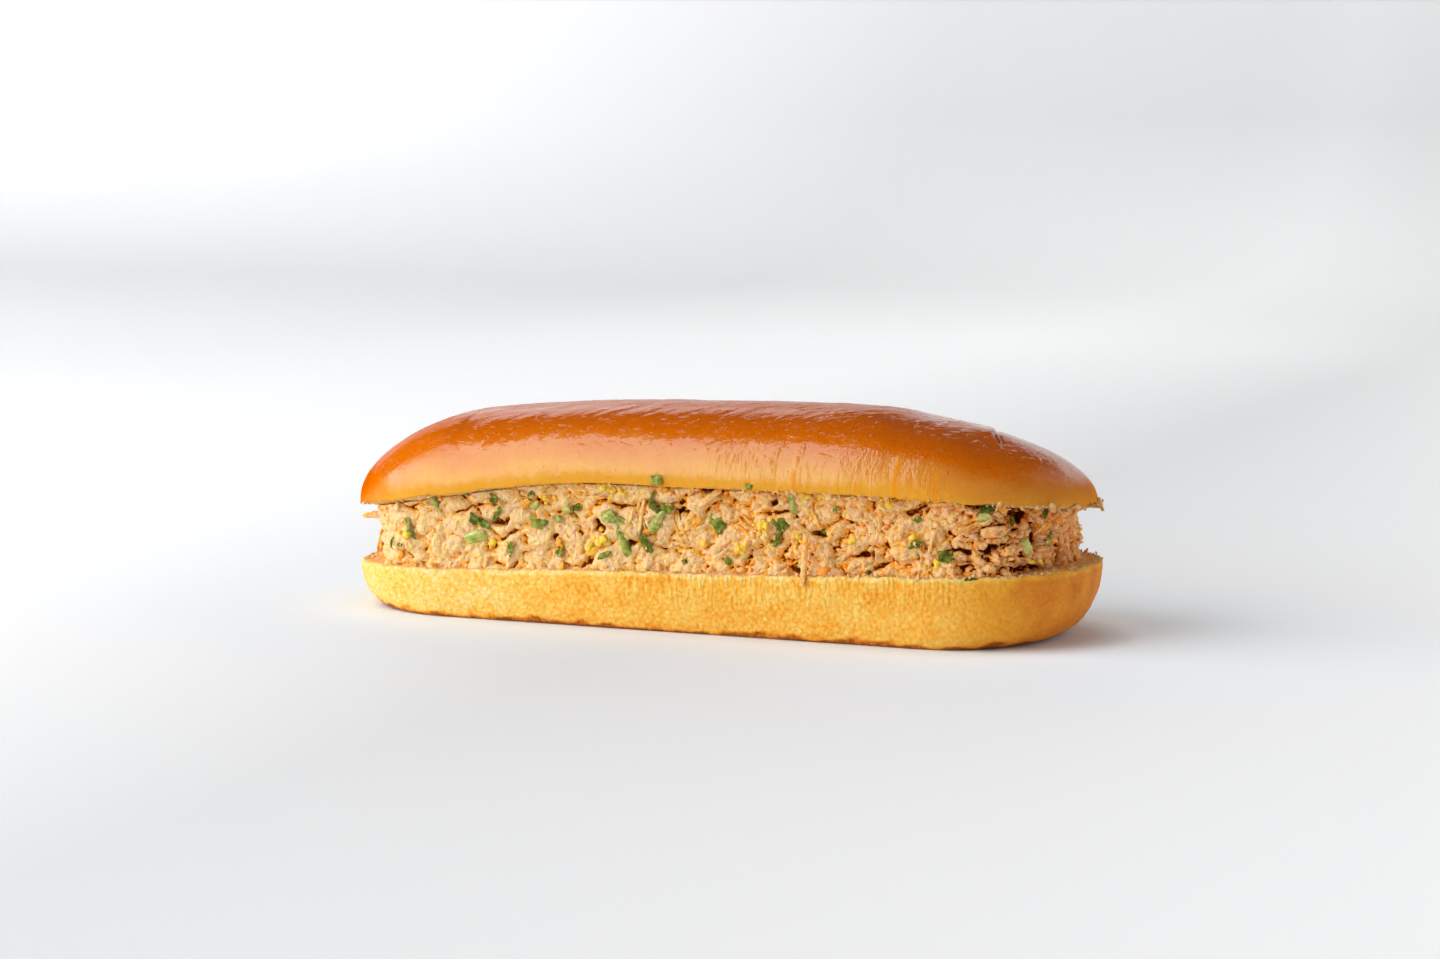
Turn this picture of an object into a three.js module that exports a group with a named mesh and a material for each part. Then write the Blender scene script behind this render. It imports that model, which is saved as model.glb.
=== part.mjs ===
// Tuna sandwich: a long soft roll cut through lengthways, with a bed of tuna salad between the halves.
// Millimetres, +Z up. X runs along the roll, -Y is its front, and the origin is the centre of the base.
import * as THREE from "three";
import { mergeVertices } from "three/addons/utils/BufferGeometryUtils.js";

// ---- Driving dimensions ----

// The roll in plan: a straight middle with a rounded end on each side. Both halves have this outline.
const SPINE = 56; // half the length of the straight middle
const END = 33; // how far each rounded end reaches past it
const HALF_WIDTH = 29;
const END_SQUARENESS = 2.25; // 2 is an ellipse, and more is squarer

// The lower half: its cut climbs from the left end to the right one and waves a little.
const HEEL_CUT_MID = 13.6;
const HEEL_CUT_SLOPE = 0.036; // rise for each millimetre to the right
const HEEL_CUT_WAVE = { height: 0.25, along: 11, across: 13 };
const BASE_SIDE_INSET = 0.1; // how far the flat base stands back from the rim, as a share of the half width
const BASE_LEFT_INSET = 0.3; // the same at the ends, as a share of END
const BASE_RIGHT_INSET = 0.4;
const HEEL_RIM_ROUND = 0.9; // softness of the cut's rim
const HEEL_WALL_SPREAD = 0.8; // power of the wall's outward sweep: less swells sooner
const HEEL_WALL_RISE = 0.9; // power of its rise: less climbs sooner

// The upper half: where its cut lies, how much wider it opens at the front, and its crest.
const CROWN_CUT_MID = 30.8;
const CROWN_CUT_SAG_LEFT = { depth: 9, from: 17, over: 77 }; // from that far left of the middle, outwards
const CROWN_CUT_SAG_RIGHT = { depth: 3, from: 48, over: 62 };
const OPENING_SLOPE = 0.06; // rise of the cut towards the front, for each millimetre
const CREST_LEFT = 46.4; // crest height over the left end of the straight middle
const CREST_PEAK = 49.6;
const CREST_RIGHT = 46.6;
const CREST_PEAK_X = 28;
const CREST_FLATNESS = 2.6; // power by which the crest falls away from its peak
const CROWN_SHORT_RIGHT = 1.5; // how far its right end stops short of the lower half's
const CROWN_BEVEL = 0.9; // height of the slanted strip of crumb that shows all round under the crust
const CROWN_BEVEL_FROM = 0.88; // where that strip starts, as a share of the way out
const CROWN_BULGE = 0.02; // how far the crust swells past the rim, as a share of the half width
const SIDE_LEANNESS = 0.86; // power of the dome's section: 1 is an ellipse, less is fuller
const LEFT_LEANNESS = 1.6; // the same at the ends, which taper more
const RIGHT_LEANNESS = 1.5;

// The tuna salad: it stops short of the roll's ends, and lumps stand out of its sides.
const FILLING_INSET = 1.2; // at the sides
const FILLING_LEFT_INSET = 4.2; // at the left end
const FILLING_RIGHT_INSET = 5.5;
const FILLING_SQUARENESS = 3; // of its ends, which are blunter than the roll's
const LUMP = 1.1; // height of the largest lumps
const LUMP_WAVES = { long: 4.7, middle: 2.9, short: 2.1, bend: 7.3 }; // lengths of the crossed waves
const WALL_BELLY = 0.7; // how far the sides bulge at mid height, as a share of a lump
const STATION_PITCH = 3.4; // mean distance between stations of the outline
const GAP = 0.3; // air between the pieces, which only rest on each other

// How finely the solids are faceted.
const SIDE_STEPS = 30;
const END_STEPS = 16;
const HEEL_WALL_RINGS = 7;
const DOME_RINGS = 13;
const FILLING_WALL_RINGS = 8;

// ---- Outline ----

// A superellipse quarter wave: the sine or cosine of an angle, with its corners squared.
const squared = (value, squareness) => Math.sign(value) * Math.abs(value) ** (2 / squareness);

// Stations round the roll, counter-clockwise from above. Each has a foot on the spine, from -1 to 1,
// and the direction in which the outline lies from that foot.
function outline(squareness) {
  const stations = [];
  for (const side of [-1, 1]) {
    for (let i = 0; i < SIDE_STEPS; i++) {
      stations.push({ foot: side * (1 - (2 * i) / SIDE_STEPS), ex: 0, ey: side });
    }
    for (let i = 0; i < END_STEPS; i++) {
      const angle = Math.PI * (i / END_STEPS - 0.5);
      const ex = -side * squared(Math.cos(angle), squareness);
      const ey = -side * squared(Math.sin(angle), squareness);
      stations.push({ foot: -side, ex, ey });
    }
  }
  return stations;
}

// A point of the plan: shares of the end's reach and of the half width, 1 on the outline and 0 on the spine.
const inPlan = (station, endShare, sideShare) => [
  station.foot * SPINE + station.ex * END * endShare,
  station.ey * HALF_WIDTH * sideShare,
];

// ---- Heights ----

// A soft step: 0 below 0, 1 above 1.
const smooth = (t) => {
  const c = Math.min(1, Math.max(0, t));
  return c * c * (3 - 2 * c);
};

function heelCut(x, y) {
  const wave = Math.sin(x / HEEL_CUT_WAVE.along) * Math.cos(y / HEEL_CUT_WAVE.across);
  return HEEL_CUT_MID + HEEL_CUT_SLOPE * x + HEEL_CUT_WAVE.height * wave;
}

const sag = (distance, end) => end.depth * smooth((distance - end.from) / end.over);

const crownCut = (x, y) =>
  CROWN_CUT_MID - sag(-x, CROWN_CUT_SAG_LEFT) - sag(x, CROWN_CUT_SAG_RIGHT) - OPENING_SLOPE * y;

// Crest height over a place on the spine: two curves that meet at the peak.
function crest(x) {
  const [low, reach] = x < CREST_PEAK_X ? [CREST_LEFT, CREST_PEAK_X + SPINE] : [CREST_RIGHT, SPINE - CREST_PEAK_X];
  const t = Math.abs(x - CREST_PEAK_X) / reach;
  return CREST_PEAK - (CREST_PEAK - low) * t ** CREST_FLATNESS;
}

// Lumps of the salad: crossed waves that never line up, from -1 to 1.
function lumps(along, up) {
  const { long, middle, short, bend } = LUMP_WAVES;
  const first = Math.sin(along / middle + Math.sin(up / middle));
  const second = Math.sin(along / long - up / short);
  const third = Math.sin(up / short + along / bend);
  return (first + second + third) / 3;
}

// ---- Solids ----

// Closes a pile of rings, from the middle of the underside, out, up and in to the middle of the top.
function solid(rings) {
  const count = rings[0].length;
  const positions = rings.flat(2);
  const index = [];
  for (let k = 0; k + 1 < rings.length; k++) {
    for (let i = 0; i < count; i++) {
      const [a, b] = [k * count + i, k * count + ((i + 1) % count)];
      index.push(a, b, b + count, a, b + count, a + count);
    }
  }
  let geometry = new THREE.BufferGeometry();
  geometry.setAttribute("position", new THREE.Float32BufferAttribute(positions, 3));
  geometry.setIndex(index);
  geometry = mergeVertices(geometry, 1e-3);
  geometry.setIndex(withoutSlivers([...geometry.index.array]));
  geometry.computeVertexNormals();
  return geometry;
}

// Drops the triangles that shrank to a line where a ring closes on the spine.
function withoutSlivers(index) {
  const kept = [];
  for (let i = 0; i < index.length; i += 3) {
    const [a, b, c] = index.slice(i, i + 3);
    if (a !== b && b !== c && c !== a) kept.push(a, b, c);
  }
  return kept;
}

// A ring on a surface given by its height over the plan.
const levelRing = (stations, endShare, sideShare, height) =>
  stations.map((s) => {
    const [x, y] = inPlan(s, endShare(s), sideShare);
    return [x, y, height(x, y)];
  });

// Flat base, a wall with a rounded lower edge, then the cut.
function heel() {
  const stations = outline(END_SQUARENESS);
  const baseSide = 1 - BASE_SIDE_INSET;
  const baseEnd = (s) => 1 - (s.foot < 0 ? BASE_LEFT_INSET : BASE_RIGHT_INSET);
  const rings = [];
  for (const share of [0, 0.5, 0.8, 1]) {
    rings.push(
      stations.map((s) => {
        const [x, y] = inPlan(s, share * baseEnd(s), share * baseSide);
        return [x, y, 0];
      }),
    );
  }
  for (let k = 1; k <= HEEL_WALL_RINGS; k++) {
    const angle = (Math.PI / 2) * (k / HEEL_WALL_RINGS);
    const out = Math.sin(angle) ** HEEL_WALL_SPREAD;
    const up = (1 - Math.cos(angle)) ** HEEL_WALL_RISE;
    rings.push(
      stations.map((s) => {
        const [x, y] = inPlan(s, baseEnd(s) + (1 - baseEnd(s)) * out, baseSide + (1 - baseSide) * out);
        return [x, y, (heelCut(x, y) - HEEL_RIM_ROUND) * up];
      }),
    );
  }
  const rim = 1 - HEEL_RIM_ROUND / HALF_WIDTH;
  for (const share of [rim, 0.8, 0.5, 0]) rings.push(levelRing(stations, () => share, share, heelCut));
  return solid(rings);
}

// The cut, its slanted strip of crumb, and a dome that swells a little just above the rim.
function crown() {
  const stations = outline(END_SQUARENESS);
  const reach = (s) => (s.foot < 0 ? 1 : 1 - CROWN_SHORT_RIGHT / END);
  const cutRing = (share) => {
    const strip = CROWN_BEVEL * smooth((share - CROWN_BEVEL_FROM) / (1 - CROWN_BEVEL_FROM));
    return stations.map((s) => {
      const [x, y] = inPlan(s, share * reach(s), share);
      return [x, y, crownCut(x, y) + strip];
    });
  };
  const rings = [0, 0.5, CROWN_BEVEL_FROM, (1 + CROWN_BEVEL_FROM) / 2, 1].map(cutRing);
  for (let k = 1; k <= DOME_RINGS; k++) {
    const angle = (Math.PI / 2) * (k / DOME_RINGS);
    const inward = k < DOME_RINGS ? Math.cos(angle) : 0;
    const bulge = CROWN_BULGE * Math.sin(2 * angle);
    rings.push(
      stations.map((s) => {
        const endLeanness = s.foot < 0 ? LEFT_LEANNESS : RIGHT_LEANNESS;
        const leanness = SIDE_LEANNESS + (endLeanness - SIDE_LEANNESS) * s.ex ** 2;
        const [x, y] = inPlan(s, reach(s) * inward ** endLeanness, inward ** leanness + bulge);
        const rim = crownCut(x, y) + CROWN_BEVEL;
        const top = crest(s.foot * SPINE) - OPENING_SLOPE * y;
        return [x, y, rim + (top - rim) * Math.sin(angle)];
      }),
    );
  }
  return solid(rings);
}

// Fills the space between the two cuts.
function filling() {
  const stations = outline(FILLING_SQUARENESS);
  const endShare = (s) => 1 - (s.foot < 0 ? FILLING_LEFT_INSET : FILLING_RIGHT_INSET) / END;
  const sideShare = 1 - FILLING_INSET / HALF_WIDTH;
  const underside = (x, y) => heelCut(x, y) + GAP;
  const topside = (x, y) => crownCut(x, y) - GAP;
  const shares = [0, 0.6, 0.92];
  const capRing = (share, height) => levelRing(stations, (s) => share * endShare(s), share * sideShare, height);
  const rings = shares.map((share) => capRing(share, underside));
  for (let k = 0; k <= FILLING_WALL_RINGS; k++) {
    const up = k / FILLING_WALL_RINGS;
    rings.push(
      stations.map((s, i) => {
        const [x, y] = inPlan(s, endShare(s), sideShare);
        const z = underside(x, y) + (topside(x, y) - underside(x, y)) * up;
        const out = LUMP * (lumps(i * STATION_PITCH, z) + WALL_BELLY * (Math.sin(Math.PI * up) - 0.7));
        const length = Math.hypot(s.ex, s.ey);
        return [x + (out * s.ex) / length, y + (out * s.ey) / length, z];
      }),
    );
  }
  for (const share of shares.reverse()) rings.push(capRing(share, topside));
  return solid(rings);
}

// ---- Pieces ----

function piece(name, geometry, colour, roughness) {
  const material = new THREE.MeshStandardMaterial({ color: colour, roughness, metalness: 0 });
  const mesh = new THREE.Mesh(geometry, material);
  mesh.name = name;
  return mesh;
}

const sandwich = new THREE.Group();
sandwich.add(
  piece("bun_bottom", heel(), 0xe9b04f, 0.75),
  piece("tuna_filling", filling(), 0xdba36b, 0.55),
  piece("bun_top", crown(), 0xb8651a, 0.25),
);

export default sandwich;
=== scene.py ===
import math

import bpy
import numpy as np
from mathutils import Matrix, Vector


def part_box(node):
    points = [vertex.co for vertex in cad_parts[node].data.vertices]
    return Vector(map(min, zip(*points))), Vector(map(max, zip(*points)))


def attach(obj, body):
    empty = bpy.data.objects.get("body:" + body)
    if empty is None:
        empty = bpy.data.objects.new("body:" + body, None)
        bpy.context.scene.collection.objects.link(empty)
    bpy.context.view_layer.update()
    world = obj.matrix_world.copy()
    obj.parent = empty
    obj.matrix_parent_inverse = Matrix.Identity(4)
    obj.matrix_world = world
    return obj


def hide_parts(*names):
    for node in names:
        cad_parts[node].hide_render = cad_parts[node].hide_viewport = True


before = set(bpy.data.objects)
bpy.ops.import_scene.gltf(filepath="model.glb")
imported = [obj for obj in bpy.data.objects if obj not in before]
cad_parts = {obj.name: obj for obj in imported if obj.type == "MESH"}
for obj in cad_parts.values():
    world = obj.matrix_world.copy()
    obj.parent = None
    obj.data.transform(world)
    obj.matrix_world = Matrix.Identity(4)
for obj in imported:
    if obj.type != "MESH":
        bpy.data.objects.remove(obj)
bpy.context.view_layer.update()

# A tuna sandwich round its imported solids. Formulas are in millimetres, and meshes are put down in metres.
# X runs along the roll, -Y is its front.
MM = 0.001
roll_high = np.array(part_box("bun_bottom")[1]) / MM
crown_high = np.array(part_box("bun_top")[1]) / MM

# ---- The roll's named sizes, the same as the solids have ----

END = 33.0  # reach of each rounded end past the straight middle
SPINE = roll_high[0] - END
HALF_WIDTH = roll_high[1]
ROLL_SQUARENESS = 2.25
HEEL_CUT_MID, HEEL_CUT_SLOPE = 13.6, 0.036
BASE_SIDE_INSET, BASE_LEFT_INSET, BASE_RIGHT_INSET = 0.1, 0.3, 0.4
HEEL_RIM_ROUND = 0.9
CROWN_CUT_MID = 30.8
SAG_LEFT, SAG_RIGHT = (9.0, 17.0, 77.0), (3.0, 48.0, 62.0)  # depth, where it starts, and over what length
OPENING_SLOPE = 0.06
CREST_LEFT, CREST_PEAK, CREST_RIGHT = 46.4, crown_high[2] - 0.16, 46.6
CREST_PEAK_X, CREST_FLATNESS = 28.0, 2.6
CROWN_SHORT_RIGHT = roll_high[0] - crown_high[0]
CROWN_BEVEL, CROWN_BEVEL_FROM = 0.9, 0.88
CROWN_BULGE, SIDE_LEANNESS, LEFT_LEANNESS, RIGHT_LEANNESS = 0.02, 0.86, 1.6, 1.5


def smooth(t):
    """A soft step: 0 below 0, 1 above 1, 3t^2 - 2t^3 between."""
    c = np.clip(t, 0, 1)
    return c * c * (3 - 2 * c)


def heel_cut(x, y):
    """Height of the lower half's cut: a slope along the roll with a shallow wave."""
    return HEEL_CUT_MID + HEEL_CUT_SLOPE * x + 0.25 * np.sin(x / 11) * np.cos(y / 13)


def sag(distance, end):
    """How far a cut has sagged at that distance towards an end."""
    depth, start, over = end
    return depth * smooth((distance - start) / over)


def crown_cut(x, y):
    """Height of the upper half's cut: level in the middle, sagging at both ends, rising to the front."""
    return CROWN_CUT_MID - sag(-x, SAG_LEFT) - sag(x, SAG_RIGHT) - OPENING_SLOPE * y


def crest(x):
    """Crest height over the spine: two power curves that meet at the peak."""
    left = x < CREST_PEAK_X
    low = np.where(left, CREST_LEFT, CREST_RIGHT)
    reach = np.where(left, CREST_PEAK_X + SPINE, SPINE - CREST_PEAK_X)
    return CREST_PEAK - (CREST_PEAK - low) * (np.abs(x - CREST_PEAK_X) / reach) ** CREST_FLATNESS


# ---- Noise, all on whole arrays ----

# Large odd numbers that scramble a 64-bit whole number when it is multiplied by them: one for each axis of a
# cell, then two for the mixed number.
AXIS_SCRAMBLE = (0x9E3779B185EBCA87, 0xC2B2AE3D27D4EB4F, 0x165667B19E3779F9)
MIX_SCRAMBLE = (0xBF58476D1CE4E5B9, 0x94D049BB133111EB)
SEED_STEP = 7919


def lattice(cell, seed):
    """Three values from -1 to 1 for each whole-number cell, mixed from its place and the seed."""
    x, y, z = (cell[..., k].astype(np.uint64) * np.uint64(AXIS_SCRAMBLE[k]) for k in range(3))
    h = (x ^ y ^ z) + np.uint64(seed * SEED_STEP + 1)
    h = (h ^ h >> np.uint64(30)) * np.uint64(MIX_SCRAMBLE[0])
    h = (h ^ h >> np.uint64(27)) * np.uint64(MIX_SCRAMBLE[1])
    h = h ^ h >> np.uint64(31)
    parts = [h >> np.uint64(shift) & np.uint64(0xFFFF) for shift in (0, 16, 32)]
    return np.stack(parts, -1).astype(float) / 32767.5 - 1


def noise(points, size, seed):
    """Gradient noise, about -1 to 1: in each cell of that size, the corners' slopes are blended by a quintic
    step."""
    q = points / np.asarray(size, float)
    cell = np.floor(q).astype(np.int64)
    f = q - cell
    u = f * f * f * (f * (f * 6 - 15) + 10)
    total = 0.0
    for corner in np.ndindex(2, 2, 2):
        c = np.array(corner)
        total = total + np.prod(np.where(c, u, 1 - u), -1) * (lattice(cell + c, seed) * (f - c)).sum(-1)
    return total * 1.5


def cells(points, size, seed):
    """Each cell of that size has one scattered point. For every place: the distance to the nearest of them in
    cells, how much farther the next one is, the way from it in millimetres, and its three random values."""
    size = np.asarray(size, float)
    q = points / size
    home = np.floor(q).astype(np.int64)
    best, second = (np.full(q.shape[:-1], 9.0) for _ in range(2))
    way, values = np.zeros(q.shape), np.zeros(q.shape)
    for step in np.ndindex(3, 3, 3):
        cell = home + np.array(step) - 1
        spot = lattice(cell, seed)
        here = q - (cell + 0.5 + 0.45 * spot)
        distance = np.linalg.norm(here, axis=-1)
        closer = distance < best
        second = np.where(closer, best, np.minimum(second, distance))
        best = np.where(closer, distance, best)
        way = np.where(closer[..., None], here, way)
        values = np.where(closer[..., None], spot, values)
    return best, second - best, way * size, values


def pillow(border, width):
    """A flat top that rounds down to nothing at a cell's border."""
    return 1 - (1 - np.clip(border / width, 0, 1)) ** 2


# ---- Meshes from grids ----


def put_mesh(name, points, quads, tris, looks, quad_looks=None, tri_looks=None, **attributes):
    """A mesh in metres from points in millimetres, with vertices that no face uses left out."""
    used, renumber = np.unique(np.concatenate([quads.ravel(), tris.ravel()]), return_inverse=True)
    starts = np.concatenate([np.arange(len(quads)) * 4, len(quads) * 4 + np.arange(len(tris)) * 3])
    mesh = bpy.data.meshes.new(name)
    mesh.vertices.add(len(used))
    mesh.vertices.foreach_set("co", (points[used] * MM).astype(np.float32).ravel())
    mesh.loops.add(len(renumber))
    mesh.loops.foreach_set("vertex_index", renumber.astype(np.int32))
    mesh.polygons.add(len(starts))
    mesh.polygons.foreach_set("loop_start", starts.astype(np.int32))
    for look in looks:
        mesh.materials.append(look)
    if quad_looks is not None:
        face_looks = np.concatenate([quad_looks, tri_looks]).astype(np.int32)
        mesh.polygons.foreach_set("material_index", face_looks)
    for key, values in attributes.items():
        kind, field = ("FLOAT", "value") if values.ndim == 1 else ("FLOAT_VECTOR", "vector")
        attribute = mesh.attributes.new(key, kind, "POINT")
        attribute.data.foreach_set(field, values[used].astype(np.float32).ravel())
    mesh.update(calc_edges=True)
    mesh.shade_smooth()
    piece = bpy.data.objects.new(name, mesh)
    bpy.context.scene.collection.objects.link(piece)
    return piece


def ring_faces(index):
    """Quads between neighbouring rings of an index grid, and triangles where a ring's points are one."""
    a, d = index[:-1].ravel(), index[1:].ravel()
    b, c = np.roll(index[:-1], -1, 1).ravel(), np.roll(index[1:], -1, 1).ravel()
    below, above = a == b, c == d
    whole = ~(below | above)
    quads = np.stack([a, b, c, d], 1)[whole]
    first, last = above & ~below, below & ~above
    tris = np.concatenate([np.stack([a, b, c], 1)[first], np.stack([a, c, d], 1)[last]])
    rows = np.repeat(np.arange(len(index) - 1), index.shape[1])
    return quads, tris, rows[whole], np.concatenate([rows[first], rows[last]])


def roll_mesh(name, grid, stations, looks, look_of_row, **attributes):
    """A closed body from rings that start and end on the spine, where front and back points are one."""
    rows, count = grid.shape[:2]
    index = np.arange(rows * count).reshape(rows, count)
    here = np.arange(count)
    partner = np.minimum(here, count - here)
    partner[stations[0] <= -1] = 0
    partner[stations[0] >= 1] = count // 2
    index[0] = index[0, partner]
    index[-1] = index[-1, partner]
    quads, tris, quad_rows, tri_rows = ring_faces(index)
    quad_looks, tri_looks = look_of_row[quad_rows], look_of_row[tri_rows]
    flat = {key: values.reshape(rows * count, *values.shape[2:]) for key, values in attributes.items()}
    return put_mesh(name, grid.reshape(-1, 3), quads, tris, looks, quad_looks, tri_looks, **flat)


def outward(grid):
    """Unit normals of a ring grid: the cross product of its steps along and across the rings."""
    normal = np.cross(np.roll(grid, -1, 1) - np.roll(grid, 1, 1), np.gradient(grid, axis=0))
    normal[0], normal[-1] = (0, 0, -1), (0, 0, 1)
    return normal / np.maximum(np.linalg.norm(normal, axis=-1, keepdims=True), 1e-9)


# ---- The roll's plan ----

FINE_STEPS = 4000  # how finely each stretch of the plan is measured before it is spaced evenly


def outline(count, squareness):
    """Feet on the spine and directions of the outline, evenly spaced from the left tip along the front.
    The ends are superellipse quarters: cosine and sine to the power 2 over the squareness."""
    fine = np.linspace(0, 1, FINE_STEPS)
    falling, rising = (wave(fine * np.pi / 2) ** (2 / squareness) for wave in (np.cos, np.sin))
    foot = np.concatenate([-np.ones(FINE_STEPS), 2 * fine - 1, np.ones(FINE_STEPS)])
    ex = np.concatenate([-falling, 0 * fine, rising])
    ey = -np.concatenate([rising, np.ones(FINE_STEPS), falling])
    steps = np.hypot(np.diff(foot * SPINE + ex * END), np.diff(ey * HALF_WIDTH))
    length = np.concatenate([[0], np.cumsum(steps)])
    at = np.linspace(0, length[-1], count // 2 + 1)
    foot, ex, ey = (np.interp(at, length, values) for values in (foot, ex, ey))
    front_and_back = ((foot, 1), (ex, 1), (ey, -1))
    foot, ex, ey = (np.concatenate([front, side * front[-2:0:-1]]) for front, side in front_and_back)
    ey[[0, count // 2]] = 0
    return foot, ex, ey


def in_plan(stations, end_share, side_share):
    """Points of the plan at shares of the ends' reach and of the half width."""
    foot, ex, ey = stations
    return foot * SPINE + ex * END * end_share, ey * HALF_WIDTH * side_share


def column(values):
    """Values one below the other, so that each holds for a row of a grid."""
    return np.asarray(values, float)[:, None]


# ---- Crown ----

CROWN_STATIONS = 800
CUT_ROWS, DOME_ROWS = 20, 96
# Shares of the way from the spine out to the rim at which the cut has its rows, closest near the rim.
CUT_SHARES = np.concatenate([np.linspace(0, 0.8, 6), np.linspace(0.82, 1, CUT_ROWS - 6)])


def crown_bevel(x):
    """Height of the strip of crumb that shows under the crust: thin in the middle, where the salad reaches
    it."""
    return CROWN_BEVEL * (1 - 0.75 * smooth((x + 62) / 10) * smooth((76 - x) / 8))


def crown_grid():
    """The cut with its slanted strip of crumb, then a dome: quarter ellipses from the rim in to the spine."""
    stations = outline(CROWN_STATIONS, ROLL_SQUARENESS)
    foot, ex, _ = stations
    reach = np.where(foot < 0, 1, 1 - CROWN_SHORT_RIGHT / END)
    share = column(CUT_SHARES)
    x, y = in_plan(stations, share * reach, share)
    z = crown_cut(x, y) + crown_bevel(x) * smooth((share - CROWN_BEVEL_FROM) / (1 - CROWN_BEVEL_FROM))
    cut = np.stack([x, y, z], -1)
    angle = column(np.linspace(0, np.pi / 2, DOME_ROWS + 1)[1:])
    inward = np.cos(angle)
    inward[-1] = 0
    end_leanness = np.where(foot < 0, LEFT_LEANNESS, RIGHT_LEANNESS)
    leanness = SIDE_LEANNESS + (end_leanness - SIDE_LEANNESS) * ex**2
    side_share = inward**leanness + CROWN_BULGE * np.sin(2 * angle)
    x, y = in_plan(stations, reach * inward**end_leanness, side_share)
    rim = crown_cut(x, y) + crown_bevel(x)
    top = crest(foot * SPINE) - OPENING_SLOPE * y
    dome = np.stack([x, y, rim + (top - rim) * np.sin(angle)], -1)
    return stations, np.concatenate([cut, dome])


# Drips in the glaze of the front: place along the roll, half width, and how high above the rim they start.
CROWN_DRIPS = ((29.6, 0.5, 5.5), (52.7, 0.6, 9.0), (18.5, 0.35, 3.5), (61.5, 0.5, 7.0), (44.0, 0.3, 4.0))
# Stretches of the lower front that stay smooth: place and half width.
CALM_PATCHES = ((27.0, 2.4), (35.0, 4.5), (50.6, 1.8))
# Where along X the fold crosses the middle of the crest, and where along Y its nick is.
FOLD_X, NICK_Y = 65.5, -6.0
BEND_REACH = 4.5  # how quickly the easing of the crest's bends fades out away from the spine's ends


def crown_relief(p, above):
    """Height of the glazed skin over the dome: broad swells, glaze wrinkles that run along and slant, and
    shallow grooves pulled down the lower front."""
    x, y, z = (p[..., k] for k in range(3))
    swell = 0.30 * noise(p, (30, 18, 18), 1) + 0.14 * noise(p, (11, 7, 7), 2)
    slanted = np.stack([x + y, y - x, z], -1)
    crest_zone = smooth((above - 4 - 4 * smooth((x - 12) / 10) * smooth((66 - x) / 6) * (y < 0)) / 4)
    patchy = 0.35 + smooth((noise(p, (17, 9, 9), 9) + 0.15) / 0.5)
    wrinkle = 0.17 * np.abs(noise(slanted, (17, 5.5, 6), 3))
    wrinkle = wrinkle + 0.11 * patchy * np.abs(noise(slanted, (7, 1.8, 2.2), 4))
    wrinkle = wrinkle * (1 - 0.85 * smooth((x - 58) / 9)) * (1 - 0.45 * smooth((-x - 48) / 12))
    pulled = smooth((x - 8) / 12) * smooth((66 - x) / 8) * smooth((10 - above) / 5) * (y < 0)
    grooves = 0.05 * noise(p, (1.5, 7, 7), 6) + 0.05 * noise(p, (0.8, 5, 5), 7)
    return swell + crest_zone * wrinkle + 0.02 * noise(p, (1.6, 1.6, 1.6), 8) + pulled * grooves


def fold(p):
    """A fold across the crest near the right end: the skin swells up to it on the left and drops into a
    crease, with a nick near its front. Gives the height, and how near the nick is, from 0 to 1."""
    x, y = p[..., 0], p[..., 1]
    side = x - (FOLD_X - 0.42 * y + 0.4 * np.sin(y / 3.1))
    fade = smooth((y + 13) / 5) * smooth((14 - y) / 6)
    swelling = 0.55 * np.exp(np.minimum(side, 0) / 5) * (1 - smooth((side + 0.4) / 1.0))
    crease = -0.30 * np.exp(-((side - 0.6) ** 2) / 0.35)
    nick = np.exp(-(((side - 0.3) / 0.45) ** 2) - ((y - NICK_Y) / 3.0) ** 2)
    near_nick = np.exp(-(((side - 0.5) / 1.0) ** 2) - ((y - NICK_Y) / 3.6) ** 2)
    return fade * (swelling + crease) - nick, near_nick


def eased_bend(x, above):
    """Height taken off where the spine ends and the crest bends: a bulge is shaved off on the left, and both
    sides of a hollow are lowered on the right. It fades out down the sides."""
    past = np.abs(np.abs(x) - SPINE)
    return np.where(x < 0, 0.22, 0.14 * past) * np.exp(-past / BEND_REACH) * np.clip(above / 16, 0, 1)


def crown_bake(x, grid, above, facing_up, nick):
    """Browning that climbs from the pale waist to the crest, and comes down at both ends, with painted shade
    on the top, where the crust faces up, and in the nick of the fold.
    """
    waist = 7.6 - 3.2 * smooth((x - 38) / 30) - 1.6 * smooth((x - 64) / 12)
    waist = waist - 7.0 * smooth((-x - 60) / 22)
    height = above - waist + 1.6 * noise(grid, (12, 6, 5), 16) + 0.6 * noise(grid, 2.2, 17)
    bake = smooth(height / 11 + 0.5)
    # Painted shade on the top, where the crust faces up, and a browner left tip.
    bake = bake + 0.2 * smooth((facing_up - 0.72) / 0.25) + 0.4 * smooth((-x - 74) / 11)
    # Painted shade in the nick of the fold.
    return bake + 0.8 * nick


def crown_drip(x, y, z, above):
    """Where the glaze has run off down the front: bell curves across, from each drip's start to the rim."""
    drips = [
        np.exp(-(((x - place - 0.25 * np.sin(z)) / wide) ** 2)) * smooth((start - above) / 1.5)
        for place, wide, start in CROWN_DRIPS
    ]
    return np.clip(sum(drips), 0, 1) * (y < 0)


def crown_streak(x, y, above):
    """Streaks pulled down the lower front, between the stretches that stay smooth."""
    front = (y < 0) * smooth((x - 4) / 8) * smooth((68 - x) / 6)
    calm = sum(smooth((wide - np.abs(x - place)) / 0.8) for place, wide in CALM_PATCHES)
    return smooth((14 - above) / 5) * (0.2 + 0.8 * front * (1 - np.clip(calm, 0, 1)))


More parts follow.
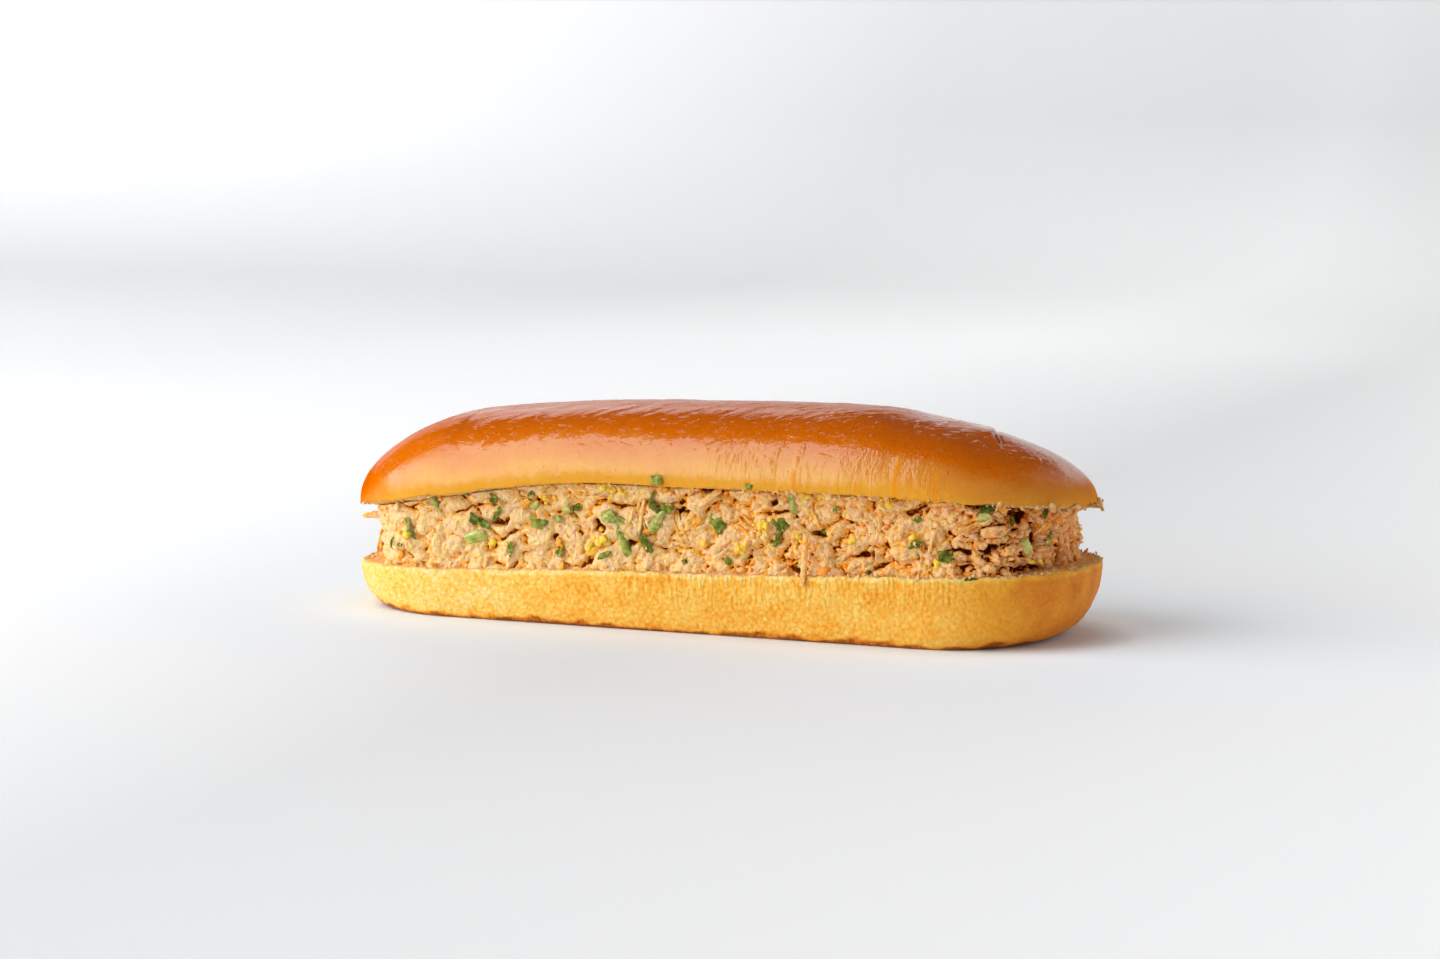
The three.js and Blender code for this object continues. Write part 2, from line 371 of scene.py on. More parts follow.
def crown_glaze(x, grid, above, facing_up, nick, drip):
    """The coat of glaze: it ends in fingers above the rim, and is thinner on the flat of the crest, in the
    nick, in the drips and at both ends."""
    fingers = noise(grid, (1.3, 1.3, 9), 18) + 0.6 * noise(grid, (0.7, 0.7, 6), 19)
    bare = 0.5 + 1.3 * fingers + 6 * smooth((-x - 68) / 11) + 1.3 * smooth((x - 30) / 25)
    glaze = smooth((above - bare) / 3.6) * (1 - 0.9 * drip)
    glaze = glaze * (1 - 0.45 * smooth((facing_up - 0.975) / 0.02)) * (1 - 0.9 * nick)
    glaze = glaze * (1 - 0.85 * smooth((x - 56) / 12) * smooth((8 - above) / 5))
    return glaze * (1 - 0.7 * smooth((-x - 54) / 10) * smooth((facing_up - 0.40) / 0.2))


def build_crown(crust, crumb):
    """The upper half: its pores and its glazed skin are pushed along the grid's normals."""
    stations, grid = crown_grid()
    rim_z = grid[CUT_ROWS - 1 : CUT_ROWS, :, 2]
    is_dome = column(np.arange(len(grid)) >= CUT_ROWS)
    x, y, z = (grid[..., k] for k in range(3))
    above = np.where(is_dome, z - rim_z, 0)
    # The torn rim wanders up and down, most right at the edge.
    share_out = column(np.concatenate([CUT_SHARES, np.ones(DOME_ROWS)]))
    hold = np.exp(-above / 1.2) * np.exp(-(1 - share_out) * HALF_WIDTH / 1.5)
    rim_line = np.broadcast_to(grid[CUT_ROWS - 1], grid.shape)
    ragged = 0.4 * smooth((x - 12) / 8) * smooth((70 - x) / 8)
    grid[..., 2] += hold * (0.45 * noise(rim_line, 6, 11) + (0.25 + ragged) * noise(rim_line, 1.7, 12))
    normal = outward(grid)
    facing_up = normal[..., 2]
    pores = -0.35 * smooth((0.45 - cells(grid, 1.3, 14)[0]) / 0.4) + 0.18 * noise(grid, 0.9, 15)
    folded, nick = fold(grid)
    skin = crown_relief(grid, above) + folded - eased_bend(x, above) * facing_up
    height = np.where(is_dome, skin, pores * smooth((share_out - 0.6) / 0.2))
    hold_off = np.where(is_dome, smooth(above / 0.8 + 0.2), smooth((1 - share_out) * 12))
    grid = grid + normal * (height * hold_off)[..., None]
    # The tones go by the places that the skin had before it was pushed out.
    drip = crown_drip(x, y, z, above)
    tones = {
        "bake": crown_bake(x, grid, above, facing_up, nick * is_dome),
        "glaze": crown_glaze(x, grid, above, facing_up, nick, drip),
        "streak": crown_streak(x, y, above),
        "drip": drip,
    }
    look_of_row = (np.arange(len(grid) - 1) >= CUT_ROWS - 1).astype(int)
    return roll_mesh("crown_crust", grid, stations, [crumb, crust], look_of_row, **tones)


# ---- Heel ----

HEEL_STATIONS = 800
BASE_ROWS, WALL_ROWS, RIM_ROWS, TOP_ROWS = 7, 58, 5, 14


def heel_grid():
    """A flat base, a wall that sweeps out and up by powers of sine and cosine, a rounded rim, and the cut."""
    stations = outline(HEEL_STATIONS, ROLL_SQUARENESS)
    foot = stations[0]
    base_side = 1 - BASE_SIDE_INSET
    base_end = 1 - np.where(foot < 0, BASE_LEFT_INSET, BASE_RIGHT_INSET)
    share = column(np.linspace(0, 1, BASE_ROWS))
    x, y = in_plan(stations, share * base_end, share * base_side)
    base = np.stack([x, y, 0 * x], -1)
    angle = column(np.linspace(0, np.pi / 2, WALL_ROWS + 1)[1:])
    out, up = np.sin(angle) ** 0.8, (1 - np.cos(angle)) ** 0.9
    x, y = in_plan(stations, base_end + (1 - base_end) * out, base_side + (1 - base_side) * out)
    wall = np.stack([x, y, (heel_cut(x, y) - HEEL_RIM_ROUND) * up], -1)
    turn = column(np.linspace(0, np.pi / 2, RIM_ROWS + 1)[1:])
    share = 1 - HEEL_RIM_ROUND / HALF_WIDTH * (1 - np.cos(turn))
    x, y = in_plan(stations, share, share)
    rim = np.stack([x, y, heel_cut(x, y) - HEEL_RIM_ROUND * (1 - np.sin(turn))], -1)
    share = column(np.linspace(1 - HEEL_RIM_ROUND / HALF_WIDTH, 0, TOP_ROWS + 1)[1:])
    x, y = in_plan(stations, share, share)
    top = np.stack([x, y, heel_cut(x, y)], -1)
    return stations, np.concatenate([base, wall, rim, top])


def build_heel(crust, crumb):
    """The lower half: its dimpled wall and the torn crumb of its cut are pushed along the grid's normals."""
    stations, grid = heel_grid()
    row = np.arange(len(grid))
    rim_row = BASE_ROWS + WALL_ROWS + 2
    is_wall = column((row >= BASE_ROWS) & (row < rim_row))
    is_cut = column(row >= rim_row)
    x, y, z = (grid[..., k] for k in range(3))
    below = heel_cut(x, y) - z
    rim_line = np.broadcast_to(grid[rim_row], grid.shape)
    inset = column(np.concatenate([np.zeros(rim_row), np.linspace(0, 1, len(row) - rim_row)]))
    hold = np.exp(-np.maximum(below - 0.3, 0) / 1.1) * np.exp(-inset * HALF_WIDTH / 1.5)
    grid[..., 2] += hold * (0.30 * noise(rim_line, 5, 31) + 0.22 * noise(rim_line, 1.4, 32))
    normal = outward(grid)
    distance, _, _, values = cells(grid, 1.25, 33)
    pebbles = 0.12 * smooth(1 - distance / 0.6) * (0.5 + values[..., 0] / 2)
    near_cut = smooth((7 - below) / 5) * smooth((x + 5) / 20)
    dimples = 0.14 * noise(grid, (1.3, 5, 5), 34) * near_cut
    swell = 0.28 * noise(grid, (24, 14, 9), 35) + 0.10 * noise(grid, (6, 5, 4), 36)
    creased = smooth((x - 62) / 8) * (y < 0)
    across = x + 0.55 * z + 0.8 * np.sin(z / 2.3)
    first, second = np.exp(-((across - 79) ** 2) / 0.12), np.exp(-((across - 84.5) ** 2) / 0.10)
    creases = -0.22 * creased * (first + second)
    wall = (pebbles + dimples + swell + creases + 0.03 * noise(grid, 0.8, 37)) * smooth(z / 0.8)
    torn = -0.4 * smooth((0.45 - cells(grid, 1.4, 38)[0]) / 0.4) + 0.2 * noise(grid, 1.0, 39)
    height = np.where(is_wall, wall, 0) + np.where(is_cut, torn * (1 - smooth((inset - 0.6) / 0.3)), 0)
    grid = grid + normal * height[..., None]
    grid[:BASE_ROWS, :, 2] = 0
    grid[..., 2] = np.maximum(grid[..., 2], 0)
    # Browner at the right end and in a line along the base, and paler at the left end and just under the cut.
    # The paler left end and browner right end are partly painted light and shade, as the light comes from the
    # left, and the dark line along the base is partly browning and partly painted contact shadow.
    bake = 0.25 + 0.05 * smooth((x - 40) / 25) + 0.39 * smooth((x - 66) / 18) - 0.20 * smooth((-x - 20) / 40)
    base_line = 1.8 + 1.3 * noise(grid, (4, 4, 2), 40)
    bake = bake + 0.85 * smooth((base_line - z) / 1.5) + 0.12 * noise(grid, (9, 5, 5), 41)
    bake = bake - 0.35 * smooth((1.6 + 0.6 * noise(grid, 2, 42) - below) / 1.5)
    streak = smooth((9 - below) / 5) * smooth((x + 25) / 25) * smooth((72 - x) / 10)
    tones = {"bake": np.clip(bake, 0, 1), "streak": streak}
    look_of_row = (row[:-1] < rim_row).astype(int)
    return roll_mesh("heel_crust", grid, stations, [crumb, crust], look_of_row, **tones)


# ---- Filling ----

FILLING_STATIONS = 1300
FILLING_ROWS = 68
# Shares of the way from the spine out to the side at which the underside and the topside have their rows.
INNER_SHARES = (0, 0.5, 0.8, 0.95)
FILLING_SQUARENESS = 3.0
FILLING_SIDE_INSET = 1.2
LEFT_INSET, RIGHT_INSET = 4.4, 5.0
CORE_INSET = 1.7  # how far the core stands back from the solid that it replaces
GAP = 0.12
SUNK = 0.2  # how far the salad's lower edge presses into the torn crumb


def flow(p):
    """Direction of the flakes' grain over the heap's sides, as an angle from level."""
    return 1.3 * noise(p, 14, 51) + 0.8 * noise(p, 6, 52)


# Hollows on the front, in millimetres: place along the roll, height, reach along, reach up, and depth.
FRONT_HOLLOWS = (
    (-43.5, 22.4, 2.6, 0.9, 2.2), (-18.6, 22.8, 1.5, 1.7, 2.6), (-29, 20, 0.9, 1.0, 1.6),
    (-7.2, 26.4, 1.0, 0.8, 1.8), (1.4, 27.6, 0.8, 0.6, 1.2), (23.2, 30.2, 0.8, 0.8, 1.8),
    (44, 19.2, 2.4, 0.7, 1.5), (34.4, 23.6, 1.6, 0.9, 1.6), (66.8, 21.2, 2.6, 0.7, 1.7),
    (64.6, 25.1, 1.0, 1.0, 1.0), (78.6, 29.8, 3.0, 2.4, 4.2), (79.8, 24.4, 1.0, 2.6, 3.0),
    (73.2, 21.3, 2.0, 0.8, 1.9), (80.2, 17.2, 5.5, 1.0, 3.0), (81.4, 26.6, 0.9, 2.2, 2.0),
    (75.2, 23.0, 1.2, 0.8, 1.4), (-60.5, 26.5, 2.0, 0.6, 1.2), (10, 33, 3.0, 0.8, 1.6),
    (59.4, 22.2, 1.6, 0.7, 1.2), (66.2, 17.6, 1.4, 0.8, 1.2),
)


def nearest(places, spots):
    """For each spot, given by its place along the roll and its height, which of the places is nearest."""
    return [np.argmin(np.hypot(places[:, 0] - x, places[:, 2] - z) + 0.02 * places[:, 1]) for x, z in spots]


def leaning(way, values):
    """How far a place is from the point of its cell along a direction that the cell picks, and the angle of
    that direction from level."""
    turn = np.pi * values[..., 1]
    return np.cos(turn) * (way[..., 0] - way[..., 1]) + np.sin(turn) * way[..., 2], turn


def heap_relief(p, hollows):
    """Height of the salad over its core. Big lumps hold smaller plates, each tilted its own way. Some plates
    are fibrous and the others crumbly, but both are smooth where the dressing lies thick. Deep hollows run
    between, most at the right end."""
    x, y, z = (p[..., k] for k in range(3))
    end = smooth((x - 62) / 14)
    flaky = 0.12 + 0.88 * smooth((x + 36) / 70)
    warp = np.stack([noise(p, 5, seed) for seed in (58, 59, 60)], -1)
    fine_warp = np.stack([noise(p, 1.9, seed) for seed in (63, 64, 65)], -1)
    bent = p + 1.8 * warp + 0.55 * fine_warp
    _, border, _, values = cells(bent, (9.5, 9.5, 6.5), 53)
    merged = (0.5 + 0.25 * flaky) * smooth((noise(p, (9, 9, 7), 68) + 0.25) / 0.5)
    lumps = (1 - (1 - pillow(border, 0.55)) * (1 - merged)) * (0.85 + 0.35 * values[..., 0])
    _, border, way, values = cells(bent, (4.4, 4.4, 3.2), 54)
    tilt, turn = leaning(way, values)
    plates = pillow(border, 0.5) * (0.7 + 0.3 * values[..., 0]) + 0.15 * np.clip(tilt, -2.5, 2.5)
    shade = values[..., 2]
    _, border, way, values = cells(p + 0.6 * warp + 0.8 * fine_warp, (2.6, 2.6, 1.7), 70)
    lean, _ = leaning(way, values)
    shingles = pillow(border, 0.45) * (0.75 + 0.25 * values[..., 0]) + 0.24 * np.clip(lean, -1.6, 1.6) - 0.6
    run, rise = x - y, z
    over_fibres = np.cos(turn) * run + np.sin(turn) * rise
    with_fibres = np.cos(turn) * rise - np.sin(turn) * run
    grain = np.stack([over_fibres, with_fibres, 0 * x], -1) + 9 * shade[..., None] + 0.3 * fine_warp
    fibres = 1 - 2 * np.abs(noise(grain, (0.75, 5.5, 1), 66))
    _, border, _, values = cells(p + 0.3 * fine_warp, 1.25, 55)
    crumbs = pillow(border, 0.6) * (0.7 + 0.3 * values[..., 0])
    bare = smooth((noise(p, (8, 8, 6), 67) + 0.15 + 0.3 * smooth((x + 20) / 60) + 0.6 * end) / 0.5)
    fibrous = smooth((shade + 0.1 + 0.5 * end) / 0.3)
    detail = fibrous * 0.42 * fibres + (1 - fibrous) * 0.5 * crumbs
    hole = smooth((noise(p + 0.7 * fine_warp, (6, 6, 3.4), 57) - 0.46 + 0.2 * end) / 0.35)
    height = (2.3 - 0.4 * flaky) * lumps + (0.7 - 0.15 * flaky + 0.6 * end) * plates - 1.95
    height = height + (0.45 + 0.75 * bare) * detail
    height = height + (0.10 + 0.45 * flaky + 1.2 * end) * shingles - (0.9 + 2.0 * end) * hole
    for place, reach, depth in zip(*hollows):
        away = np.linalg.norm((p + 1.1 * fine_warp - place) / reach, axis=-1)
        height = height - depth * smooth(1.5 - away)
    return height


def blurred(values, steps):
    """Values smoothed along the rings and up the rows: each step takes a quarter from both neighbours."""
    for _ in range(steps):
        values = (np.roll(values, 1, 1) + 2 * values + np.roll(values, -1, 1)) / 4
        wide = np.pad(values, ((1, 1), (0, 0)), mode="edge")
        values = (wide[:-2] + 2 * wide[1:-1] + wide[2:]) / 4
    return values


def filling_grid():
    """The heap between the two cuts: an underside, a wall pushed out by its lumps, and a topside."""
    stations = outline(FILLING_STATIONS, FILLING_SQUARENESS)
    foot, ex, ey = stations
    end_share = 1 - (np.where(foot < 0, LEFT_INSET, RIGHT_INSET) + CORE_INSET) / END
    side_share = 1 - (FILLING_SIDE_INSET + CORE_INSET) / HALF_WIDTH
    shares = column(INNER_SHARES)
    x, y = in_plan(stations, shares * end_share, shares * side_share)
    under = np.stack([x, y, heel_cut(x, y) + GAP], -1)
    up = column(np.linspace(0, 1, FILLING_ROWS))
    x, y = in_plan(stations, end_share, side_share)
    low, high = heel_cut(x, y) - SUNK, crown_cut(x, y) - GAP
    wall = np.stack(np.broadcast_arrays(x, y, low + (high - low) * up), -1)
    direction = np.stack([ex, ey, 0 * ex], -1) / np.hypot(ex, ey)[:, None]
    direction = np.broadcast_to(direction, wall.shape)
    spots = np.array(FRONT_HOLLOWS)
    front = wall[:, : FILLING_STATIONS // 2 + 1].reshape(-1, 3)
    middles = front[nearest(front, spots[:, :2])]
    height = heap_relief(wall, (middles, spots[:, [2, 2, 3]], spots[:, 4]))
    lip = 0.35 + 1.9 * noise(wall * (1, 1, 0), 8, 69)
    bulge = lip * smooth((up - 0.78) / 0.22) + 1.5 * smooth((0.22 - up) / 0.22)
    out = height + bulge * np.abs(direction[..., 1]) - 1.8 * smooth((-direction[..., 0] - 0.3) / 0.6)
    wall = wall + direction * out[..., None]
    x, y = in_plan(stations, shares[::-1] * end_share, shares[::-1] * side_share)
    over = np.stack([x, y, crown_cut(x, y) - GAP], -1)
    tones = {
        key: np.concatenate([0 * values[: len(under)], values, 0 * values[: len(over)]])
        for key, values in (("height", height), ("stand", height - blurred(height, 30)))
    }
    return stations, np.concatenate([under, wall, over]), direction, tones


def frames_on(direction, turn, tilt, rng):
    """Axes for bits that lie on the heap: the first is turned from level by an angle, and the last faces out,
    tilted at random."""
    up = np.array([0.0, 0.0, 1.0])
    level = np.cross(up, direction)
    facing = direction + tilt * rng.normal(size=direction.shape)
    facing = facing / np.linalg.norm(facing, axis=1, keepdims=True)
    first = np.cos(turn)[:, None] * level + np.sin(turn)[:, None] * up
    first = first - (first * facing).sum(1, keepdims=True) * facing
    first = first / np.linalg.norm(first, axis=1, keepdims=True)
    return np.stack([first, np.cross(facing, first), facing], 1)


def spindles(places, frames, sizes, bend, cup, rows, columns, blunt, lumpiness, crumple, seed):
    """Closed bits, one for each place. Each is a sphere pulled out along its first axis, with ends rounded by
    a power of sine, pushed about by noise, bent along and cupped across by parabolas, crumpled out of its
    plane by noise, then set in its frame. Gives the points, the faces, and the points in each bit's frame."""
    t = np.linspace(0, np.pi, rows)
    a = np.arange(columns) * 2 * np.pi / columns
    radius = np.sin(t) ** blunt
    radius[[0, -1]] = 0
    along = np.repeat(-np.cos(t)[:, None], columns, 1)
    unit = np.stack([along, radius[:, None] * np.cos(a), radius[:, None] * np.sin(a)], -1).reshape(-1, 3)
    shift = (np.arange(len(places)) * 7.31)[:, None, None] * np.array([1.0, 0.37, 0.61])
    local = unit[None] * sizes[:, None] / 2
    wobble = noise(local * (2.2 / sizes.mean(1)[:, None, None]) + shift, 1.0, seed)
    local = local * (1 + lumpiness * wobble)[..., None]
    long, wide = np.maximum(sizes[:, :1], 0.1), np.maximum(sizes[:, 1:2], 0.1)
    local[..., 2] -= bend[:, None] * local[..., 0] ** 2 / long + cup[:, None] * local[..., 1] ** 2 / wide
    flat = local * (1, 1, 0)
    local[..., 2] += crumple * wide * noise(flat * (3.2 / long[..., None]) + shift, 1.0, seed + 1)
    points = np.einsum("nvk,nkc->nvc", local, frames) + places[:, None]
    index = np.arange(rows * columns).reshape(rows, columns)
    index[0], index[-1] = index[0, 0], index[-1, 0]
    quads, tris = ring_faces(index)[:2]
    step = (np.arange(len(places)) * rows * columns)[:, None, None]
    quads, tris = (quads[:, ::-1] + step).reshape(-1, 4), (tris[:, ::-1] + step).reshape(-1, 3)
    return points.reshape(-1, 3), quads, tris, local


def bits(
    name, look, places, frames, sizes, bend, tone, seed,
    cup=0, rows=8, columns=8, blunt=0.75, lumpiness=0.5, crumple=0,
):
    """Joined spindles with, at each vertex, its bit's tone and its place in the bit for the grain."""
    cup = np.broadcast_to(cup, bend.shape)
    points, quads, tris, local = spindles(
        places, frames, sizes, bend, cup, rows, columns, blunt, lumpiness, crumple, seed
    )
    tones = np.repeat(tone, rows * columns)
    grain = (local + np.arange(len(places))[:, None, None] * 3.7).reshape(-1, 3)
    return put_mesh(name, points, quads, tris, [look], tone=tones, grain=grain)


class Heap:
    """The heap's sides as a grid, and spots on it."""

    def __init__(self):
        self.stations, self.grid, self.direction, self.tones = filling_grid()
        self.wall = self.grid[len(INNER_SHARES) : -len(INNER_SHARES)]

    def core(self, look):
        """The heap itself, all in one look."""
        look_of_row = np.zeros(len(self.grid) - 1, int)
        return roll_mesh("tuna_core", self.grid, self.stations, [look], look_of_row, **self.tones)

    def scatter(self, rng, count, low, high):
        """Random spots between two shares of the wall's height: places on it, and the way out there."""
        i = rng.integers(0, self.wall.shape[1], count)
        j = (rng.uniform(low, high, count) * (len(self.wall) - 1)).astype(int)
        return self.wall[j, i], self.direction[j, i]

    def raised(self, places, out, reach, share):
        """Spots moved outwards by a share of how far the lumps within reach stand out past them."""
        points = self.wall.reshape(-1, 3)
        moved = []
        for place, way, radius in zip(places, out, reach):
            near = points[np.linalg.norm(points - place, axis=1) < radius]
            moved.append(place + way * share * max(((near - place) @ way).max(initial=0), 0))
        return np.array(moved)

    def at(self, spots):
        """Spots on the front and its ends, each given by its place along the roll and its height."""
        half = slice(0, self.wall.shape[1] // 2 + 1)
        places, out = (grid[:, half].reshape(-1, 3) for grid in (self.wall, self.direction))
        found = nearest(places, spots)
        return places[found], out[found]


# How many flakes lie between which shares of the heap's height: all over it, then along its two edges.
FLAKE_SPREADS = ((260, 0.02, 0.98), (110, 0.0, 0.07), (60, 0.94, 1.0))
SHRED_BUNDLES, SHREDS_EACH = 30, 4
# How many random bits lie on the back: leaves, chunks, clumps of yolk, and crumbs in each clump.
HERBS_BEHIND, GREENS_BEHIND, CLUMPS_BEHIND, CLUMP_CRUMBS = 46, 7, 16, 6
STUCK_HEIGHT = 33.2  # leaves listed above this height stick to the crown's rim


def build_flakes(heap, look):
    """Flakes and crumbs of tuna half sunk in the heap's sides, their grain following the flow."""
    rng = np.random.default_rng(61)
    spots = [heap.scatter(rng, *spread) for spread in FLAKE_SPREADS]
    places, out = (np.concatenate(parts) for parts in zip(*spots))
    count = len(places)
    edge = np.arange(count) >= FLAKE_SPREADS[0][0]
    long = (rng.gamma(5, 0.36, count) + 0.9) * np.where(edge, 0.7, 1)
    sizes = np.stack([long, long * rng.uniform(0.45, 0.9, count), long * rng.uniform(0.3, 0.5, count)], 1)
    turn = flow(places) + rng.normal(0, 0.5, count) + rng.integers(0, 2, count) * 0.9
    frames = frames_on(out, turn, 0.3, rng)
    places = places - out * (0.26 * long - edge * rng.uniform(0.2, 0.8, count))[:, None]
    bend, tone = rng.normal(0.1, 0.25, count), rng.uniform(0, 1, count)
    return bits("tuna_flakes", look, places, frames, sizes, bend, tone, 62, lumpiness=0.7)


def build_shreds(heap, look):
    """Soft fibres of tuna in bundles: each bundle's fibres lie side by side and bend alike."""
    rng = np.random.default_rng(71)
    bundles, per = SHRED_BUNDLES, SHREDS_EACH
    centres, out = heap.scatter(rng, bundles, 0.06, 0.94)
    turn = flow(centres) + rng.normal(0, 0.6, bundles) + (rng.uniform(0, 1, bundles) < 0.5) * 1.3
    bend = rng.normal(0.25, 0.35, bundles)
    each = np.repeat(np.arange(bundles), per)
    own_turn = turn[each] + rng.normal(0, 0.14, len(each))
    frames = frames_on(out[each], own_turn, 0.12, rng)
    width = rng.uniform(0.45, 1.0, len(each))
    sizes = np.stack([rng.uniform(2.5, 8.0, len(each)), width, width * 0.6], 1)
    aside = (np.tile(np.arange(per), bundles) - (per - 1) / 2) * 0.7 + rng.normal(0, 0.25, len(each))
    slid = rng.normal(0, 1.0, len(each))
    places = centres[each] + frames[:, 1] * aside[:, None] + frames[:, 0] * slid[:, None]
    places = places + out[each] * rng.uniform(-0.45, 0.10, len(each))[:, None]
    tone = rng.uniform(0.2, 0.9, len(each))
    own_bend = bend[each] + rng.normal(0, 0.15, len(each))
    return bits(
        "tuna_shreds", look, places, frames, sizes, own_bend, tone, 72,
        rows=12, columns=6, blunt=0.4, lumpiness=0.35, crumple=0.5,
    )


# Herb leaves on the front, in millimetres: place along the roll, height, length and width. Then their turn
# from level in degrees, and how dark they are, from 0 to 1.
FRONT_HERBS = (
    (-59.6, 26.0, 3.8, 1.5, -55, 0.3), (-66.2, 20.0, 4.6, 1.2, -70, 0.5), (-71.6, 15.6, 3.0, 0.5, 70, 0.8),
    (-68.6, 16.0, 1.6, 0.9, 20, 0.8), (-49.2, 23, 3.6, 2.0, -20, 0.9), (-46.8, 21.6, 2.6, 1.6, -60, 0.5),
    (-44, 27.8, 2.8, 1.7, -20, 0.8), (-43, 24.6, 3.2, 1.1, 60, 0.6), (-35.2, 28.6, 2.4, 1.3, 75, 0.9),
    (-33, 22.6, 3.2, 2.3, -10, 0.3), (-26.4, 26.4, 2.6, 2.2, 20, 0.2), (-24.2, 26.6, 2.6, 1.5, 40, 0.7),
    (-28.4, 24, 2.0, 1.4, 20, 0.2), (-40, 16.5, 3.0, 1.4, 80, 0.5), (-28, 16.6, 2.0, 1.3, 75, 0.6),
    (-14.4, 23.8, 5.4, 2.9, -35, 0.25), (-12.2, 19.6, 7.2, 2.1, -66, 0.35),
    (-16.2, 16.6, 3.0, 1.1, 25, 0.5), (-3, 34, 3.2, 2.4, 20, 0.45), (-5.4, 30, 2.9, 1.0, 80, 0.6),
    (-4.2, 27.4, 3.8, 1.6, -45, 0.9), (-1.2, 27.6, 3.0, 1.9, -35, 0.5), (-4.4, 23.8, 6.0, 2.0, 55, 0.15),
    (-6.6, 19.6, 5.6, 2.0, -58, 0.85), (10, 24.4, 3.9, 2.7, -50, 0.6), (13, 16.4, 1.9, 1.2, -40, 0.6),
    (19, 33.6, 2.4, 1.1, -10, 0.6), (28.5, 29.6, 4.0, 1.4, -78, 0.15), (25.4, 25.6, 2.9, 2.6, 10, 0.8),
    (24.4, 22, 3.4, 1.4, 65, 0.7), (35, 24, 3.2, 1.5, -15, 0.8), (38, 29.4, 1.4, 1.1, 0, 0.5),
    (56.5, 22.4, 2.6, 1.4, 25, 0.7), (63.4, 20.6, 3.6, 2.2, 15, 0.8), (57, 27.9, 1.5, 1.2, 30, 0.6),
    (71.2, 30.7, 3.4, 1.2, 5, 0.9), (81.0, 29.9, 3.4, 1.4, 60, 1.0), (46, 16.2, 1.2, 0.8, 0, 0.9),
    (68.9, 16.0, 2.4, 0.7, 0, 0.8), (75.6, 28.2, 2.6, 0.9, 80, 1.0), (82.4, 23.9, 2.8, 1.0, 60, 0.7),
    (-52, 29.6, 1.4, 0.8, 0, 0.7), (2.6, 16.0, 1.1, 0.8, 30, 0.8),
)
# Chopped spring onion and pickle on the front: the same, with the chunk's depth in place of its darkness.
FRONT_GREENS = (
    (-49.6, 18.8, 5.2, 3.0, 15, 1.6), (55, 20.4, 4.2, 1.1, -8, 0.9), (71.4, 28.9, 2.9, 2.3, -20, 2.4),
    (78.9, 22.4, 3.4, 2.2, -60, 2.0), (-34.6, 26.8, 2.4, 1.9, 0, 1.4), (16.4, 17.6, 2.6, 1.6, 30, 1.2),
    (29.6, 16.4, 1.2, 0.9, 0, 0.8),
)
# Clumps of egg yolk on the front: place along the roll, height, spread, and a number of crumbs that is then
# made half as large again.
FRONT_YOLK = (
    (-17.4, 19.8, 1.7, 12), (-20.6, 17.4, 1.0, 4), (-31.6, 28.2, 1.2, 5), (-15, 31.4, 1.8, 6),
    (21.4, 25.0, 1.7, 12), (16.4, 19.6, 1.3, 7), (29.4, 22.0, 1.5, 8), (42, 22.6, 0.6, 2),
    (56.4, 24.2, 0.6, 2), (61, 18.5, 1.1, 5), (79.4, 18.8, 0.9, 5), (32, 32.6, 1.7, 9),
    (35.4, 32.2, 1.0, 4), (-45.8, 17.0, 0.9, 3), (-40.8, 17.8, 0.8, 3), (-67.6, 18.6, 0.8, 3),
    (50, 31, 1.0, 4), (7, 20, 0.7, 3),
)
# Strands on the front: place along the roll, height, length, width, turn in degrees, and bend.
FRONT_STRANDS = (
    (-23.4, 17.4, 8.0, 1.6, 92, 0.1), (3.6, 25.0, 5.2, 1.5, 70, 0.25), (9.0, 30.6, 6.4, 1.6, 40, 0.35),
    (-9.4, 27.0, 8.0, 1.0, 76, 0.1), (-8.0, 25.4, 7.0, 0.9, 80, 0.1), (-10.8, 24.6, 6.0, 0.8, 70, 0.1),
    (48.4, 27.4, 5.0, 1.0, 84, 0.1), (58.6, 22.2, 6.2, 1.4, 86, 0.1), (60.2, 23.6, 5.0, 0.9, 74, 0.1),
    (33.6, 26.6, 4.4, 0.8, -60, 0.1), (30.6, 24.2, 4.0, 0.8, -38, 0.1), (73.2, 25.9, 5.4, 2.6, 4, 0.2),
    (77.4, 26.0, 4.6, 2.2, 60, 0.5), (75.8, 22.0, 3.6, 1.8, 30, 0.4), (81.0, 27.0, 4.4, 1.4, 80, 0.4),
    (82.4, 21.0, 4.6, 1.6, 80, 0.3), (70.6, 19.0, 4.0, 1.6, -30, 0.3), (81.6, 19.4, 3.0, 1.4, 70, 0.3),
    (40, 17.4, 6.0, 1.0, 8, 0.1), (-36, 26, 4.0, 1.0, 60, 0.2),
)


def listed(heap, rows):
    """Places on the heap, ways out there, and the other columns of a list of spots, one array for each."""
    table = np.array(rows, float)
    places, out = heap.at(table[:, :2])
    return places, out, table[:, 2:].T


def joined(first, second):
    """Each array of the first with its match in the second behind it."""
    return [np.concatenate([np.asarray(a, float), np.asarray(b, float)]) for a, b in zip(first, second)]


def behind(heap, rng, count):
    """Random spots on the side that faces back, where no list of spots reaches."""
    places, out = heap.scatter(rng, 4 * count, 0.08, 0.92)
    far = np.nonzero(out[:, 1] > 0.05)[0][:count]
    return places[far], out[far]


